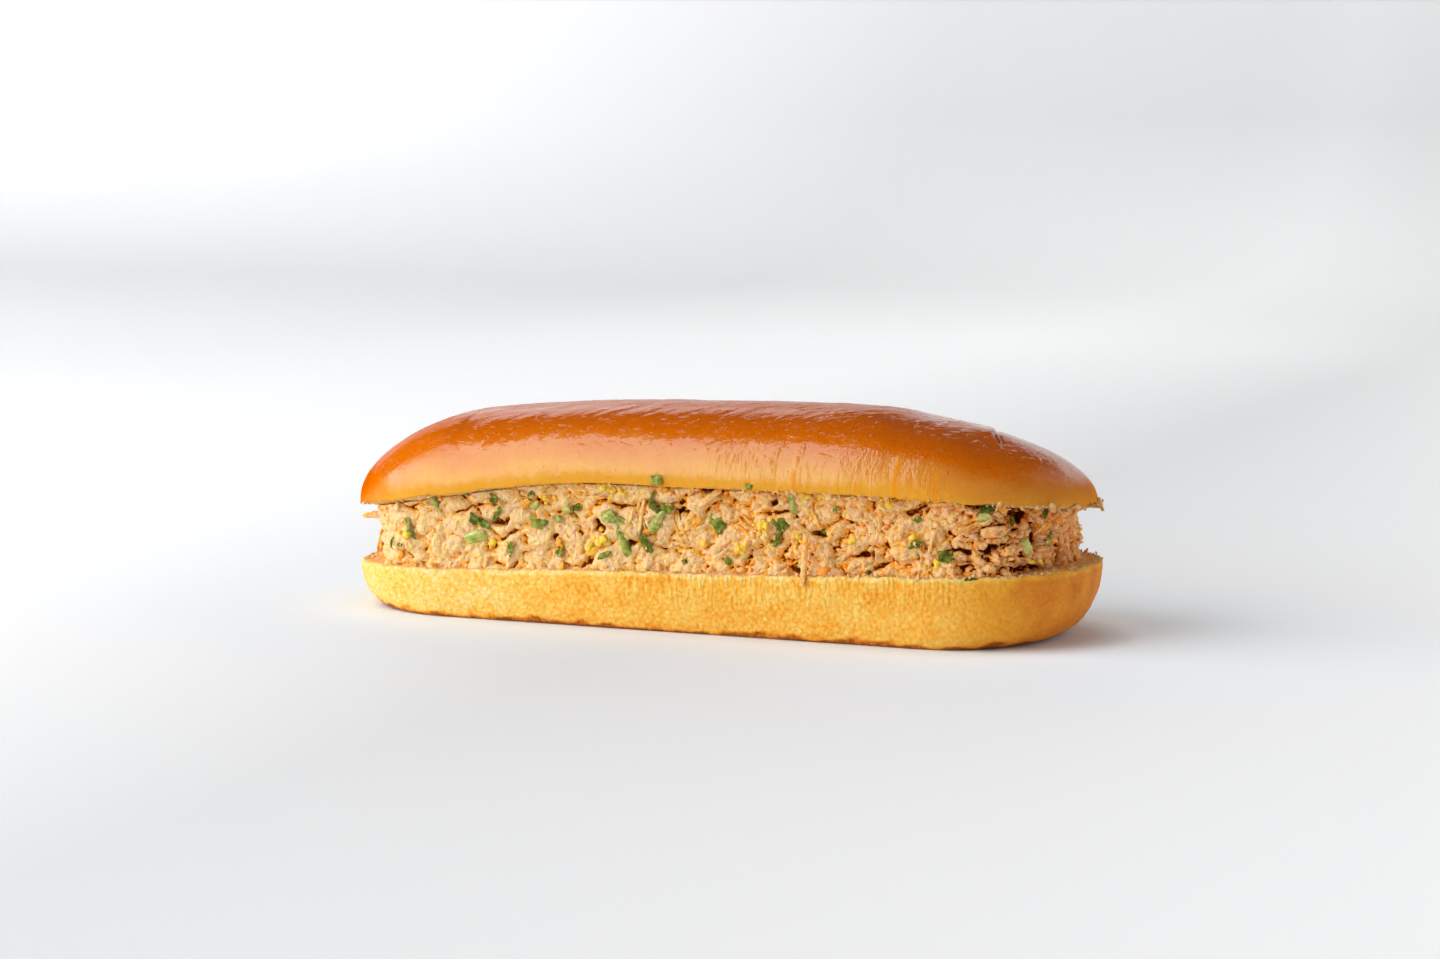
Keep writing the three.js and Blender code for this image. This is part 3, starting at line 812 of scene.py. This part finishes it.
def build_herbs(heap, look):
    """Torn leaves, cupped and bent: listed one by one on the front, and random behind."""
    rng = np.random.default_rng(81)
    places, out, (long, wide, turn, dark) = listed(heap, FRONT_HERBS)
    more, more_out = behind(heap, rng, HERBS_BEHIND)
    count = len(more)
    more_long, more_wide = rng.gamma(6, 0.5, count) + 1, rng.uniform(0.9, 2.4, count)
    more_turn, more_dark = rng.uniform(-90, 90, count), rng.uniform(0, 1, count)
    places, out, long, wide, turn, dark = joined(
        (places, out, long, wide, turn, dark), (more, more_out, more_long, more_wide, more_turn, more_dark)
    )
    frames = frames_on(out, np.radians(turn), 0.22, rng)
    sizes = np.stack([long * 1.15, wide * 1.15, np.full(len(long), 0.3)], 1)
    places = heap.raised(places, out, 0.45 * long, 0.75) + out * 0.45
    stuck = [row for row, herb in enumerate(FRONT_HERBS) if herb[1] > STUCK_HEIGHT]
    places[stuck] = [(FRONT_HERBS[row][0], -HALF_WIDTH - 0.35, FRONT_HERBS[row][1]) for row in stuck]
    bend, cup = rng.normal(0.4, 0.4, len(long)), rng.normal(0.45, 0.5, len(long))
    return bits(
        "herb_leaves", look, places, frames, sizes, bend, dark, 82, cup,
        rows=18, columns=14, blunt=0.6, crumple=0.4,
    )


def build_greens(heap, look):
    """Blunt chunks of spring onion and pickle."""
    rng = np.random.default_rng(83)
    places, out, (long, wide, turn, deep) = listed(heap, FRONT_GREENS)
    more, more_out = behind(heap, rng, GREENS_BEHIND)
    count = len(more)
    more_long, more_wide = rng.uniform(2, 4.5, count), rng.uniform(1.2, 2.8, count)
    more_turn, more_deep = rng.uniform(-90, 90, count), rng.uniform(1, 2, count)
    places, out, long, wide, turn, deep = joined(
        (places, out, long, wide, turn, deep), (more, more_out, more_long, more_wide, more_turn, more_deep)
    )
    frames = frames_on(out, np.radians(turn), 0.1, rng)
    sizes = np.stack([long, wide, deep], 1)
    places = places - out * 0.35
    bend, tone = rng.normal(0, 0.1, len(long)), rng.uniform(0, 1, len(long))
    return bits(
        "spring_onion", look, places, frames, sizes, bend, tone, 84,
        rows=14, columns=16, blunt=0.3, lumpiness=0.25,
    )


def build_yolk(heap, look):
    """Clumps of crumbled egg yolk."""
    rng = np.random.default_rng(85)
    spots = [
        (x + rng.normal(0, 0.62) * spread, z + rng.normal(0, 0.5) * spread)
        for x, z, spread, count in FRONT_YOLK
        for _ in range(count * 3 // 2)
    ]
    places, out = heap.at(spots)
    middles, middles_out = behind(heap, rng, CLUMPS_BEHIND)
    each = np.repeat(np.arange(len(middles)), CLUMP_CRUMBS)
    aside, higher = rng.normal(0, 0.8, (len(each), 1)), rng.normal(0, 0.6, (len(each), 1))
    more = middles[each] + np.cross(middles_out[each], (0, 0, 1)) * aside + higher * (0, 0, 1)
    places, out = joined((places, out), (more, middles_out[each]))
    count = len(places)
    size = rng.gamma(9, 0.105, (count, 1)) + 0.3
    sizes = size * rng.uniform(0.75, 1.1, (count, 3))
    places = places + out * rng.uniform(-0.1, 0.5, (count, 1))
    frames = frames_on(out, rng.uniform(-3, 3, count), 0.5, rng)
    bend, tone = np.zeros(count), rng.uniform(0, 1, count)
    return bits("yolk_crumbs", look, places, frames, sizes, bend, tone, 86, blunt=0.9, lumpiness=0.6)


# Two strands with places of their own: one hung over the heel's rim, and one pushed out at the left end. Each
# has its middle, its three axes, its sizes and its bend.
OWN_STRANDS = (
    ((32.0, -HALF_WIDTH + 0.2, 18.6), ((0.05, 0.06, 1.0), (1, 0, 0), (0, -1, 0)), (10.4, 1.5, 0.8), -0.05),
    ((-81.8, -13.6, 20.8), ((-0.99, -0.1, -0.1), (0, 0, 1), (0.1, -1, 0)), (7.0, 1.7, 0.8), 0.0),
)


def build_strands(heap, look):
    """Thick strands of tuna."""
    rng = np.random.default_rng(87)
    places, out, (long, wide, turn, bend) = listed(heap, FRONT_STRANDS)
    frames = frames_on(out, np.radians(turn), 0.08, rng)
    sizes = np.stack([long, wide, wide * 0.5], 1)
    places = places + out * 0.1
    places, frames, sizes, bend = joined((places, frames, sizes, bend), zip(*OWN_STRANDS))
    return bits(
        "tuna_strands", look, places, frames, sizes, bend, np.full(len(bend), 0.9), 88,
        rows=22, columns=10, blunt=0.35, lumpiness=0.35, crumple=0.35,
    )


# Crumbs torn from the cuts, on the rim of the crown and on that of the heel: from where to where along the
# roll, how many, and their mean size.
CROWN_CRUMBS = (
    (72, 88, 60, 0.75), (-88, -60, 46, 0.6), (-60, 72, 50, 0.4), (60, 88, 20, 1.1), (16, 62, 80, 0.7),
)
HEEL_CRUMBS = ((-88, -60, 40, 0.5), (-60, 66, 90, 0.45), (66, 88, 60, 0.6), (25, 72, 70, 0.6))


def build_crumbs(rims, look):
    """Torn crumbs that hang from the crown's rim and lie on the heel's, and the drawn-out tip at the right
    end."""
    rng = np.random.default_rng(91)
    places, sizes = [], []
    for (rim, drop), rows in zip(rims, (CROWN_CRUMBS, HEEL_CRUMBS)):
        for low, high, count, size in rows:
            near = rim[(rim[:, 0] > low) & (rim[:, 0] < high)]
            spots = near[rng.integers(0, len(near), count)]
            spots = spots * (1 - 0.03 * rng.uniform(0, 1, (count, 1)) * (1, 1, 0))
            spots = spots + (0, 0, drop) * rng.uniform(-0.4, 1, (count, 1))
            places.append(spots * (1 + 0.016 * (low > 0) * rng.uniform(0, 1, (count, 1)) * (1, 1, 0)))
            grown = size * rng.gamma(4, 0.25, (count, 1))
            sizes.append(grown * rng.uniform((0.9, 0.6, 0.4), (1.6, 1, 0.8), (count, 3)))
    tip = rims[0][0][np.argmax(rims[0][0][:, 0])]
    places.append([tip + (0.6, -0.6, 0.1)])
    sizes.append([(4.4, 1.6, 0.8)])
    places, sizes = np.concatenate(places), np.concatenate(sizes)
    count = len(places)
    out = places * (0.3, 1, 0) / np.linalg.norm(places * (0.3, 1, 0), axis=1, keepdims=True)
    frames = frames_on(out, rng.uniform(-1.6, 1.6, count), 0.6, rng)
    frames[-1] = ((0.98, -0.1, -0.15), (0.1, 0.99, 0), (0.15, 0, 0.98))
    tone = rng.uniform(0, 1, count)
    return bits(
        "torn_crumbs", look, places, frames, sizes, rng.normal(0, 0.4, count), tone, 92,
        rows=7, columns=7, blunt=0.7, lumpiness=0.8, crumple=0.3,
    )


# ---- Looks ----


class Nodes:
    """A node tree, with short ways to add and join its nodes."""

    def __init__(self, tree):
        self.nodes, self.links = tree.nodes, tree.links

    def add(self, kind, inputs=None, **settings):
        """A node of that kind. Its inputs are sockets to join it to, or plain values."""
        node = self.nodes.new(kind)
        for key, value in settings.items():
            setattr(node, key, value)
        for key, value in (inputs or {}).items():
            if isinstance(value, bpy.types.NodeSocket):
                self.links.new(value, node.inputs[key])
            else:
                node.inputs[key].default_value = value
        return node

    def math(self, operation, *values):
        return self.add("ShaderNodeMath", dict(enumerate(values)), operation=operation).outputs[0]

    def times(self, first, second):
        return self.math("MULTIPLY", first, second)

    def sum(self, *terms):
        """Sum of (socket, factor) terms."""
        total = 0.0
        for socket, factor in terms:
            total = self.math("MULTIPLY_ADD", socket, factor, total)
        return total

    def parts(self, value, kind):
        """The parts of a colour, for the kind Color, or of a vector, for the kind XYZ."""
        return self.add("ShaderNodeSeparate" + kind, {0: value}).outputs

    def ramp(self, value, *stops):
        """Colour along a ramp of (position, colour) stops."""
        node = self.add("ShaderNodeValToRGB", {"Fac": value})
        elements = node.color_ramp.elements
        while len(elements) < len(stops):
            elements.new(0.5)
        for element, (position, colour) in zip(elements, stops):
            element.position = position
            element.color = (*colour, 1.0)
        return node.outputs["Color"]

    def span(self, value, low, high, to_low=0.0, to_high=1.0):
        """A value from low to high, mapped to the other two and held at them outside."""
        inputs = {"Value": value, "From Min": low, "From Max": high, "To Min": to_low, "To Max": to_high}
        return self.add("ShaderNodeMapRange", inputs).outputs["Result"]


class Look(Nodes):
    """A material that starts from one principled surface."""

    def __init__(self, name, **sockets):
        self.material = bpy.data.materials.new(name)
        self.material.use_nodes = True
        super().__init__(self.material.node_tree)
        self.surface = self.nodes["Principled BSDF"]
        for key, value in sockets.items():
            self.surface.inputs[key.replace("_", " ")].default_value = value
        place = self.add("ShaderNodeTexCoord").outputs["Object"]
        self.mm = self.scaled(place, (1 / MM,) * 3)

    def scaled(self, vector, scale):
        return self.add("ShaderNodeMapping", {"Vector": vector, "Scale": scale}).outputs[0]

    def wavy(self, vector, size, depth):
        """Places shifted about by noise of that size, by up to half that depth each way."""
        shift = self.noise(size, 1.0, vector, "Color")
        inputs = {0: shift, 1: (depth,) * 3, 2: vector}
        return self.add("ShaderNodeVectorMath", inputs, operation="MULTIPLY_ADD").outputs[0]

    def attribute(self, name, output="Fac"):
        return self.add("ShaderNodeAttribute", attribute_name=name).outputs[output]

    def noise(self, size, detail, vector=None, output="Fac"):
        """Noise of that size in millimetres, or of those sizes along X, Y and Z."""
        sizes = size if isinstance(size, tuple) else (size,) * 3
        place = self.scaled(vector or self.mm, tuple(1 / each for each in sizes))
        inputs = {"Vector": place, "Scale": 1.0, "Detail": detail}
        return self.add("ShaderNodeTexNoise", inputs).outputs[output]

    def cells(self, size, vector=None):
        """Scattered cells of that size: the Distance from the middle of each, and a Color for each."""
        return self.add("ShaderNodeTexVoronoi", {"Vector": vector or self.mm, "Scale": 1 / size}).outputs

    def mix(self, share, first, second, blend="MIX"):
        inputs = {0: share, 6: first, 7: second}
        return self.add("ShaderNodeMix", inputs, data_type="RGBA", blend_type=blend).outputs[2]

    def bump(self, height, depth, socket="Normal"):
        """Relief of that many millimetres for a height of 1, on the surface or on its coat."""
        inputs = {"Height": height, "Distance": depth * MM, "Strength": 1.0}
        self.set(socket, self.add("ShaderNodeBump", inputs).outputs[0])

    def set(self, socket, value):
        self.links.new(value, self.surface.inputs[socket])


def crust_look():
    """Glazed crust: golden at the waist and deep orange-brown over the crest, under a glaze that thins to the
    rim."""
    look = Look("glazed_crust", Coat_Roughness=0.03, Coat_IOR=1.5, Specular_IOR_Level=0.0, Roughness=0.5)
    bake = look.sum((look.attribute("bake"), 1.0), (look.noise(5.0, 3), 0.26), (look.noise(0.8, 3), 0.30))
    along = look.parts(look.mm, "XYZ")["X"]
    fine = look.noise(0.55, 2)
    bake = look.sum((bake, 1.0), (fine, 0.35), (-0.2, 1.0))
    colour = look.ramp(
        look.span(bake, 0.25, 1.75),
        (0.0, (0.77, 0.350, 0.032)),
        (0.17, (0.74, 0.280, 0.032)),
        (0.37, (0.71, 0.240, 0.028)),
        (0.66, (0.69, 0.143, 0.0)),
        (0.95, (0.55, 0.090, 0.0)),
    )
    # Dark specks in some of the cells.
    chance = look.cells(3.1)
    picked = look.span(look.parts(chance["Color"], "Color")[0], 0.62, 0.64)
    speck = look.times(look.span(chance["Distance"], 0.03, 0.06, 1.0, 0.0), picked)
    colour = look.mix(speck, colour, (0.22, 0.07, 0.015, 1.0))
    colour = look.mix(look.times(look.attribute("drip"), 0.75), colour, (0.80, 0.26, 0.008, 1.0))
    look.set("Base Color", colour)
    look.set("Coat Weight", look.attribute("glaze"))
    # Under the glaze: round grains in patches, short level ridges, a fine peel, and streaks down the lower
    # front.
    grains = look.cells(1.5)
    patch = look.span(look.noise(9.0, 2), 0.42, 0.60)
    pimple = look.times(look.span(grains["Distance"], 0.26, 0.0), patch)
    streaks = look.times(look.noise((0.95, 0.95, 7.0), 2), look.attribute("streak"))
    peel = look.times(fine, look.span(along, 20.0, 62.0, 0.25, 1.0))
    ridges = look.span(look.noise((2.4, 2.4, 0.7), 3), 0.58, 0.85)
    ridges = look.times(ridges, look.span(look.attribute("bake"), 0.40, 0.75, 0.15, 1.0))
    rough = look.noise(1.2, 3)
    relief = look.sum((rough, 0.35), (pimple, 2.2), (streaks, 2.8), (peel, 1.0), (ridges, 1.6))
    look.bump(relief, 0.06)
    shine = look.sum((rough, 0.40), (fine, 0.80), (pimple, 0.35), (streaks, 2.8), (ridges, 4.2))
    look.bump(shine, 0.045, "Coat Normal")
    return look.material


def heel_look():
    """Matte golden crust, paler near the cut and browner at the right end and along the base."""
    look = Look("heel_crust", Specular_IOR_Level=0.1, Roughness=0.62)
    along = look.parts(look.mm, "XYZ")["X"]
    grain = look.sum((look.noise(0.7, 3), 0.70), (look.cells(1.0)["Distance"], 0.35), (-0.5, 1.0))
    grain = look.times(grain, look.span(along, 45.0, 75.0, 1.0, 0.4))
    streaks = look.times(look.noise((0.8, 0.8, 3.2), 2), look.attribute("streak"))
    bake = look.sum((look.attribute("bake"), 1.0), (look.noise(4.0, 3), 0.30), (grain, 1.0), (0.5, 1.0))
    bake = look.sum((bake, 1.0), (streaks, -0.5), (look.attribute("streak"), 0.25))
    colour = look.ramp(
        look.span(bake, 0.50, 1.70),
        (0.0, (0.95, 0.75, 0.37)),
        (0.2, (0.95, 0.63, 0.140)),
        (0.45, (0.93, 0.410, 0.038)),
        (0.75, (0.75, 0.232, 0.020)),
        (1.0, (0.36, 0.10, 0.008)),
    )
    look.set("Base Color", colour)
    look.bump(look.sum((look.noise(0.9, 3), 1.0), (look.cells(1.1)["Distance"], -0.8), (streaks, 2.4)), 0.22)
    return look.material


def crumb_look():
    """Open crumb, pale with tan pores."""
    look = Look("bread_crumb", Specular_IOR_Level=0.2, Roughness=0.85)
    colour = look.ramp(
        look.noise(1.2, 4),
        (0.3, (0.70, 0.34, 0.10)),
        (0.5, (0.86, 0.50, 0.18)),
        (0.7, (0.95, 0.66, 0.31)),
    )
    look.set("Base Color", colour)
    look.bump(look.sum((look.noise(0.6, 3), 1.0), (look.cells(0.9)["Distance"], 0.8)), 0.25)
    return look.material


def tuna_look(name, loose):
    """Flaked tuna in orange dressing, with painted light and shade: cream on the tops and orange-brown in the
    hollows, and browner to the right, where the light falls off. Grains of yellow, pink and orange lie over
    it, with dark specks between. Loose bits take their shade from their own tone."""
    look = Look(
        name,
        Subsurface_Weight=0.14,
        Subsurface_Radius=(1.0, 0.45, 0.15),
        Subsurface_Scale=0.001,
        Specular_IOR_Level=0.07,
        Roughness=0.28,
    )
    place = look.wavy(look.mm, 1.5, 1.6)
    grain, grit = look.cells(1.25, place), look.cells(0.6, place)
    own = look.parts(grain["Color"], "Color")
    along = look.parts(look.mm, "XYZ")["X"]
    if loose:
        tone = look.sum((look.attribute("tone"), 0.40), (own[0], 0.20), (grain["Distance"], -0.15))
        tone = look.sum((tone, 1.0), (look.noise(0.7, 3), 0.70), (look.noise(4.0, 3), 0.50))
        tone = look.span(tone, 0.26, 1.08)
    else:
        # Painted light and shade: lighter where the heap stands out, darker in its hollows and towards the
        # right.
        high = look.span(look.attribute("height"), -3.8, -1.0)
        stand = look.attribute("stand")
        open_to_light = look.span(stand, -0.85, 0.25)
        deep = look.span(stand, -0.95, -0.35, -0.35, 0.0)
        deep = look.times(deep, look.span(along, 50.0, 70.0, 1.0, 2.2))
        fine = look.sum((look.noise(0.7, 3), 1.0), (own[0], 0.22), (grain["Distance"], -0.17), (-0.54, 1.0))
        fine = look.times(fine, look.span(along, -45.0, 15.0, 0.35, 0.85))
        tone = look.sum(
            (high, 0.35),
            (open_to_light, 0.45),
            (grit["Distance"], -0.10),
            (look.noise(4.0, 3), 0.45),
            (fine, 1.15),
            (deep, 1.0),
            (look.span(along, -30.0, 10.0), -0.04),
        )
        tone = look.span(tone, 0.31, 0.83)
    colour = look.ramp(
        tone,
        (0.0, (0.15, 0.026, 0.0)),
        (0.2, (0.62, 0.155, 0.0)),
        (0.42, (1.0, 0.365, 0.014)),
        (0.7, (1.0, 0.500, 0.085)),
        (1.0, (1.0, 0.680, 0.31)),
    )
    # Painted shade: the right half is browner, and the right end browner still, where the light falls off.
    colour = look.mix(look.span(along, -10.0, 40.0), colour, (1.0, 0.92, 0.87, 1.0), "MULTIPLY")
    colour = look.mix(look.span(along, 60.0, 78.0), colour, (1.0, 0.88, 0.84, 1.0), "MULTIPLY")
    # Its hue wanders between pink and yellow.
    hue = look.noise(1.7, 4)
    colour = look.mix(look.span(hue, 0.51, 0.62, 0.0, 0.8), colour, (1.0, 0.92, 1.20, 1.0), "MULTIPLY")
    colour = look.mix(look.span(hue, 0.47, 0.36, 0.0, 0.5), colour, (1.0, 0.96, 0.70, 1.0), "MULTIPLY")
    # Yellow, pink and orange grains, then dark specks.
    middle = look.span(grain["Distance"], 0.45, 0.15)
    yellow = look.times(look.span(own[1], 0.74, 0.80, 0.0, 0.8), middle)
    colour = look.mix(yellow, colour, (1.0, 0.60, 0.06, 1.0))
    pink = look.times(look.span(own[1], 0.30, 0.24, 0.0, 0.6), middle)
    colour = look.mix(pink, colour, (0.95, 0.50, 0.28, 1.0))
    orange = look.times(look.span(own[2], 0.94, 0.96, 0.0, 0.7), middle)
    colour = look.mix(orange, colour, (0.85, 0.27, 0.02, 1.0))
    speck = look.span(look.cells(2.6)["Distance"], 0.07, 0.05)
    colour = look.mix(speck, colour, (0.16, 0.06, 0.03, 1.0))
    look.set("Base Color", colour)
    relief = look.sum((grain["Distance"], -0.9), (grit["Distance"], -0.5), (look.noise(0.6, 3), 1.0))
    look.bump(relief, 0.34)
    return look.material


def herb_look():
    """Fresh leaf: deep to light green by each leaf's own tone, smudged with dressing, with fine raised
    veins."""
    look = Look(
        "herb_leaf",
        Specular_IOR_Level=0.2,
        Roughness=0.35,
        Subsurface_Weight=0.05,
        Subsurface_Scale=0.0005,
    )
    tone = look.sum((look.attribute("tone"), -0.7), (look.noise(1.0, 3), 1.5), (-0.2, 1.0))
    colour = look.ramp(
        look.span(tone, -0.20, 0.75),
        (0.0, (0.055, 0.072, 0.002)),
        (0.35, (0.18, 0.225, 0.014)),
        (0.7, (0.40, 0.43, 0.09)),
        (1.0, (0.64, 0.64, 0.24)),
    )
    smudge = look.span(look.noise(1.7, 3), 0.63, 0.68, 0.0, 0.85)
    colour = look.mix(smudge, colour, (0.95, 0.60, 0.22, 1.0))
    look.set("Base Color", colour)
    veins = look.noise(0.35, 2, look.scaled(look.attribute("grain", "Vector"), (0.4, 1.0, 1.0)))
    look.bump(veins, 0.12)
    return look.material


def onion_look():
    """Pale green flesh that darkens to its skin in stripes."""
    look = Look(
        "green_onion",
        Specular_IOR_Level=0.5,
        Roughness=0.25,
        Subsurface_Weight=0.2,
        Subsurface_Scale=0.001,
    )
    stripes = look.noise(0.6, 2, look.scaled(look.attribute("grain", "Vector"), (0.25, 1.0, 1.0)))
    tone = look.sum((stripes, 0.8), (look.noise(2.4, 2), 0.7))
    colour = look.ramp(
        look.span(tone, 0.5, 1.0),
        (0.0, (0.17, 0.26, 0.02)),
        (0.4, (0.44, 0.50, 0.08)),
        (1.0, (0.78, 0.72, 0.28)),
    )
    look.set("Base Color", colour)
    look.bump(stripes, 0.08)
    return look.material


def yolk_look():
    """Crumbled yolk: two yellows mixed by noise."""
    look = Look("yolk", Roughness=0.5)
    size = 0.7
    colour = look.ramp(look.noise(size, 3), (0.35, (1.0, 0.58, 0.012)), (0.65, (1.0, 0.76, 0.10)))
    look.set("Base Color", colour)
    look.bump(look.noise(size / 3, 2), 0.1)
    return look.material


# ---- The object ----

crust, heel_crust, crumb = crust_look(), heel_look(), crumb_look()
crown = build_crown(crust, crumb)
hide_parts("bun_top")
heel = build_heel(heel_crust, crumb)
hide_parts("bun_bottom")

heap = Heap()
core = heap.core(tuna_look("tuna_salad", False))
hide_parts("tuna_filling")
flaked = tuna_look("tuna_flaked", True)
crown_rim = crown_grid()[1][CUT_ROWS - 1]
heel_rim = heel_grid()[1][BASE_ROWS + WALL_ROWS + 3]
torn = build_crumbs(((crown_rim, -0.6), (heel_rim, 0.3)), crumb)
salad = [core, build_flakes(heap, flaked), build_shreds(heap, flaked), build_strands(heap, flaked)]
salad.append(build_herbs(heap, herb_look()))
salad.append(build_greens(heap, onion_look()))
salad.append(build_yolk(heap, yolk_look()))

for piece in (crown, heel, torn, *salad):
    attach(piece, "root")

# ---- Stage, light and camera ----

# The floor, in millimetres: how far it runs forwards, back and to each side. It starts to rise into the wall
# behind SWEEP_START, by a parabola that reaches SWEEP_SIZE in height that far on.
FLOOR_AHEAD, FLOOR_BACK, FLOOR_ASIDE = 4000, 2300, 6000
FLOOR_ROWS = 60
SWEEP_START, SWEEP_SIZE = 1500, 700


def build_stage():
    """A pale floor that sweeps up into a wall well behind the object, and glows as painted fill light."""
    reach = np.linspace(-FLOOR_AHEAD, FLOOR_BACK, FLOOR_ROWS)
    rise = np.where(reach > SWEEP_START, (reach - SWEEP_START) ** 2 / SWEEP_SIZE, 0)
    across = np.linspace(-FLOOR_ASIDE, FLOOR_ASIDE, 3)
    x, y = np.meshgrid(across, reach)
    points = np.stack([x, y, np.repeat(rise[:, None], 3, 1)], -1).reshape(-1, 3)
    index = np.arange(len(points)).reshape(x.shape)
    corners = [index[:-1, :-1], index[:-1, 1:], index[1:, 1:], index[1:, :-1]]
    quads = np.stack(corners, -1).reshape(-1, 4)
    look = Look("pale_floor", Roughness=0.7, Specular_IOR_Level=0.2)
    place = look.parts(look.mm, "XYZ")
    # Behind the sandwich the floor glows most on the right, and the wall at its far left.
    on_wall = look.span(place["X"], -1200.0, -300.0, 0.14, -0.21)
    on_wall = look.times(on_wall, look.span(place["Z"], 0.0, 120.0))
    aglow = look.sum((look.span(place["X"], -590.0, -90.0, 0.08, 0.28), 1.0), (on_wall, 1.0))
    wall = look.span(place["Y"], 50.0, 900.0)
    # Round the sandwich the floor's glow grows to both sides.
    left = look.span(place["X"], 0.0, -220.0, 0.0, 0.17)
    right = look.span(place["X"], 0.0, 200.0, 0.0, 0.28)
    near = look.sum((left, 1.0), (right, 1.0), (0.095, 1.0))
    # Next to the roll, and under it, the floor's own glow fades out so that the shade there stays dark, and
    # its colour is painted cooler to cancel the warm light bounced off the bread.
    past = look.math("MAXIMUM", look.math("SUBTRACT", look.math("ABSOLUTE", place["X"]), SPINE), 0.0)
    square_x, square_y = look.times(past, past), look.times(place["Y"], place["Y"])
    square = look.sum((square_x, 1 / END**2), (square_y, 1 / HALF_WIDTH**2))
    clear = look.span(square, 0.85, 1.6)
    near_colour, far_colour = (0.84, 0.91, 0.985, 1.0), (0.895, 0.905, 0.92, 1.0)
    look.set("Base Color", look.mix(look.span(square, 1.0, 12.0), near_colour, far_colour))
    look.surface.inputs["Emission Color"].default_value = (1.0, 1.0, 1.0, 1.0)
    glow = look.sum((look.times(aglow, wall), 1.0), (near, 1.0))
    look.set("Emission Strength", look.times(glow, clear))
    floor = put_mesh("floor", points, quads, np.zeros((0, 3), int), [look.material])


# The one lamp: where it starts and ends along X, its upper edge and its lower edge as (y, z), all in metres,
# and how bright it looks.
SOFT_BOX = (-4.5, -0.22, (-0.15, 1.15), (-1.15, 0.05))
SOFT_BOX_RADIANCE = 3.34


def panel(name, edges, radiance):
    """A soft light panel with those edges, as in SOFT_BOX, that shines towards the side on which the sandwich
    lies."""
    x_low, x_high, upper, lower = edges
    upper, lower = Vector((0, *upper)), Vector((0, *lower))
    rise = upper - lower
    facing = Vector((1, 0, 0)).cross(rise)
    middle = (upper + lower) / 2 + Vector(((x_low + x_high) / 2, 0, 0))
    if facing.dot(-middle) < 0:
        facing = -facing
    data = bpy.data.lights.new(name, "AREA")
    data.shape, data.size, data.size_y = "RECTANGLE", x_high - x_low, rise.length
    data.energy = radiance * math.pi * data.size * data.size_y
    lamp = bpy.data.objects.new(name, data)
    lamp.location = middle
    lamp.rotation_mode = "QUATERNION"
    lamp.rotation_quaternion = (-facing).to_track_quat("Z", "Y")
    lamp.visible_camera = False
    bpy.context.scene.collection.objects.link(lamp)


# How bright the surround is at sines of elevation from the horizon up.
DIM = ((0.0, 0.34), (0.15, 0.16), (0.4, 0.05), (1.0, 0.03))
# A pale card stands round the back. At each turn from the back, in degrees with left below zero: the sine of
# the elevation that it reaches, how bright it is, and how soft its upper edge is.
CARD = (
    (-180, 0.0, 0.0, 0.05), (-118, 0.0, 0.0, 0.05), (-64, 0.0, 0.0, 0.05), (-60, 0.04, 0.8, 0.015),
    (-50, 0.32, 0.9, 0.015), (-43, 0.54, 0.9, 0.015), (-36, 0.57, 1.0, 0.015), (-25, 0.59, 1.0, 0.015),
    (-21, 0.32, 0.8, 0.015), (-15, 0.17, 0.6, 0.02), (0, 0.25, 0.4, 0.08), (14, 0.54, 0.6, 0.15),
    (40, 0.68, 1.4, 0.15), (68, 0.54, 1.75, 0.2), (90, 0.42, 1.2, 0.2), (115, 0.42, 0.9, 0.2),
    (135, 0.2, 0.5, 0.2), (150, 0.0, 0.0, 0.1), (180, 0.0, 0.0, 0.05),
)


def build_surround():
    """A dim surround, palest at the floor, with the card."""
    world = bpy.data.worlds.new("surround")
    bpy.context.scene.world = world
    world.use_nodes = True
    sky = Nodes(world.node_tree)
    way = sky.add("ShaderNodeTexCoord").outputs["Generated"]
    x, y, z = sky.parts(way, "XYZ")
    share = sky.span(sky.math("ARCTAN2", x, y), -math.pi, math.pi)
    # The card's three values travel through the ramp as a colour, its brightness halved so that it fits.
    stops = [(degrees / 360 + 0.5, (reach, level / 2, soft)) for degrees, reach, level, soft in CARD]
    reach, level, soft = sky.parts(sky.ramp(share, *stops), "Color")
    lit = sky.span(z, sky.sum((reach, 1.0), (soft, 1.0)), sky.sum((reach, 1.0), (soft, -1.0)))
    dim = sky.parts(sky.ramp(z, *((at, (grey,) * 3) for at, grey in DIM)), "Color")[0]
    background = sky.nodes["Background"].inputs
    sky.links.new(sky.sum((sky.times(lit, level), 2.0), (dim, 1.0)), background["Strength"])
    background["Color"].default_value = (1.0, 1.0, 1.0, 1.0)


# The camera: its turn to the right of the front and its elevation in degrees, its distance and the height
# that it aims at in metres, and its lens and sensor in millimetres.
CAMERA_TURN, CAMERA_ELEVATION = 23.0, 6.5
CAMERA_DISTANCE, AIM_HEIGHT = 0.700, 0.0313
CAMERA_LENS, CAMERA_SENSOR = 76.6, 36.0


def build_camera():
    """A camera that looks at a point over the middle of the floor."""
    turn, elevation = math.radians(CAMERA_TURN), math.radians(CAMERA_ELEVATION)
    level = math.cos(elevation)
    back = Vector((math.sin(turn) * level, -math.cos(turn) * level, math.sin(elevation)))
    data = bpy.data.cameras.new("camera")
    data.sensor_width, data.lens = CAMERA_SENSOR, CAMERA_LENS
    data.clip_start, data.clip_end = 0.01, 50.0
    camera = bpy.data.objects.new("camera", data)
    camera.location = Vector((0, 0, AIM_HEIGHT)) + back * CAMERA_DISTANCE
    camera.rotation_mode = "QUATERNION"
    camera.rotation_quaternion = back.to_track_quat("Z", "Y")
    bpy.context.scene.collection.objects.link(camera)
    bpy.context.scene.camera = camera


build_stage()
build_surround()
panel("soft_box", SOFT_BOX, SOFT_BOX_RADIANCE)
build_camera()
bpy.context.scene.view_settings.view_transform = "Standard"
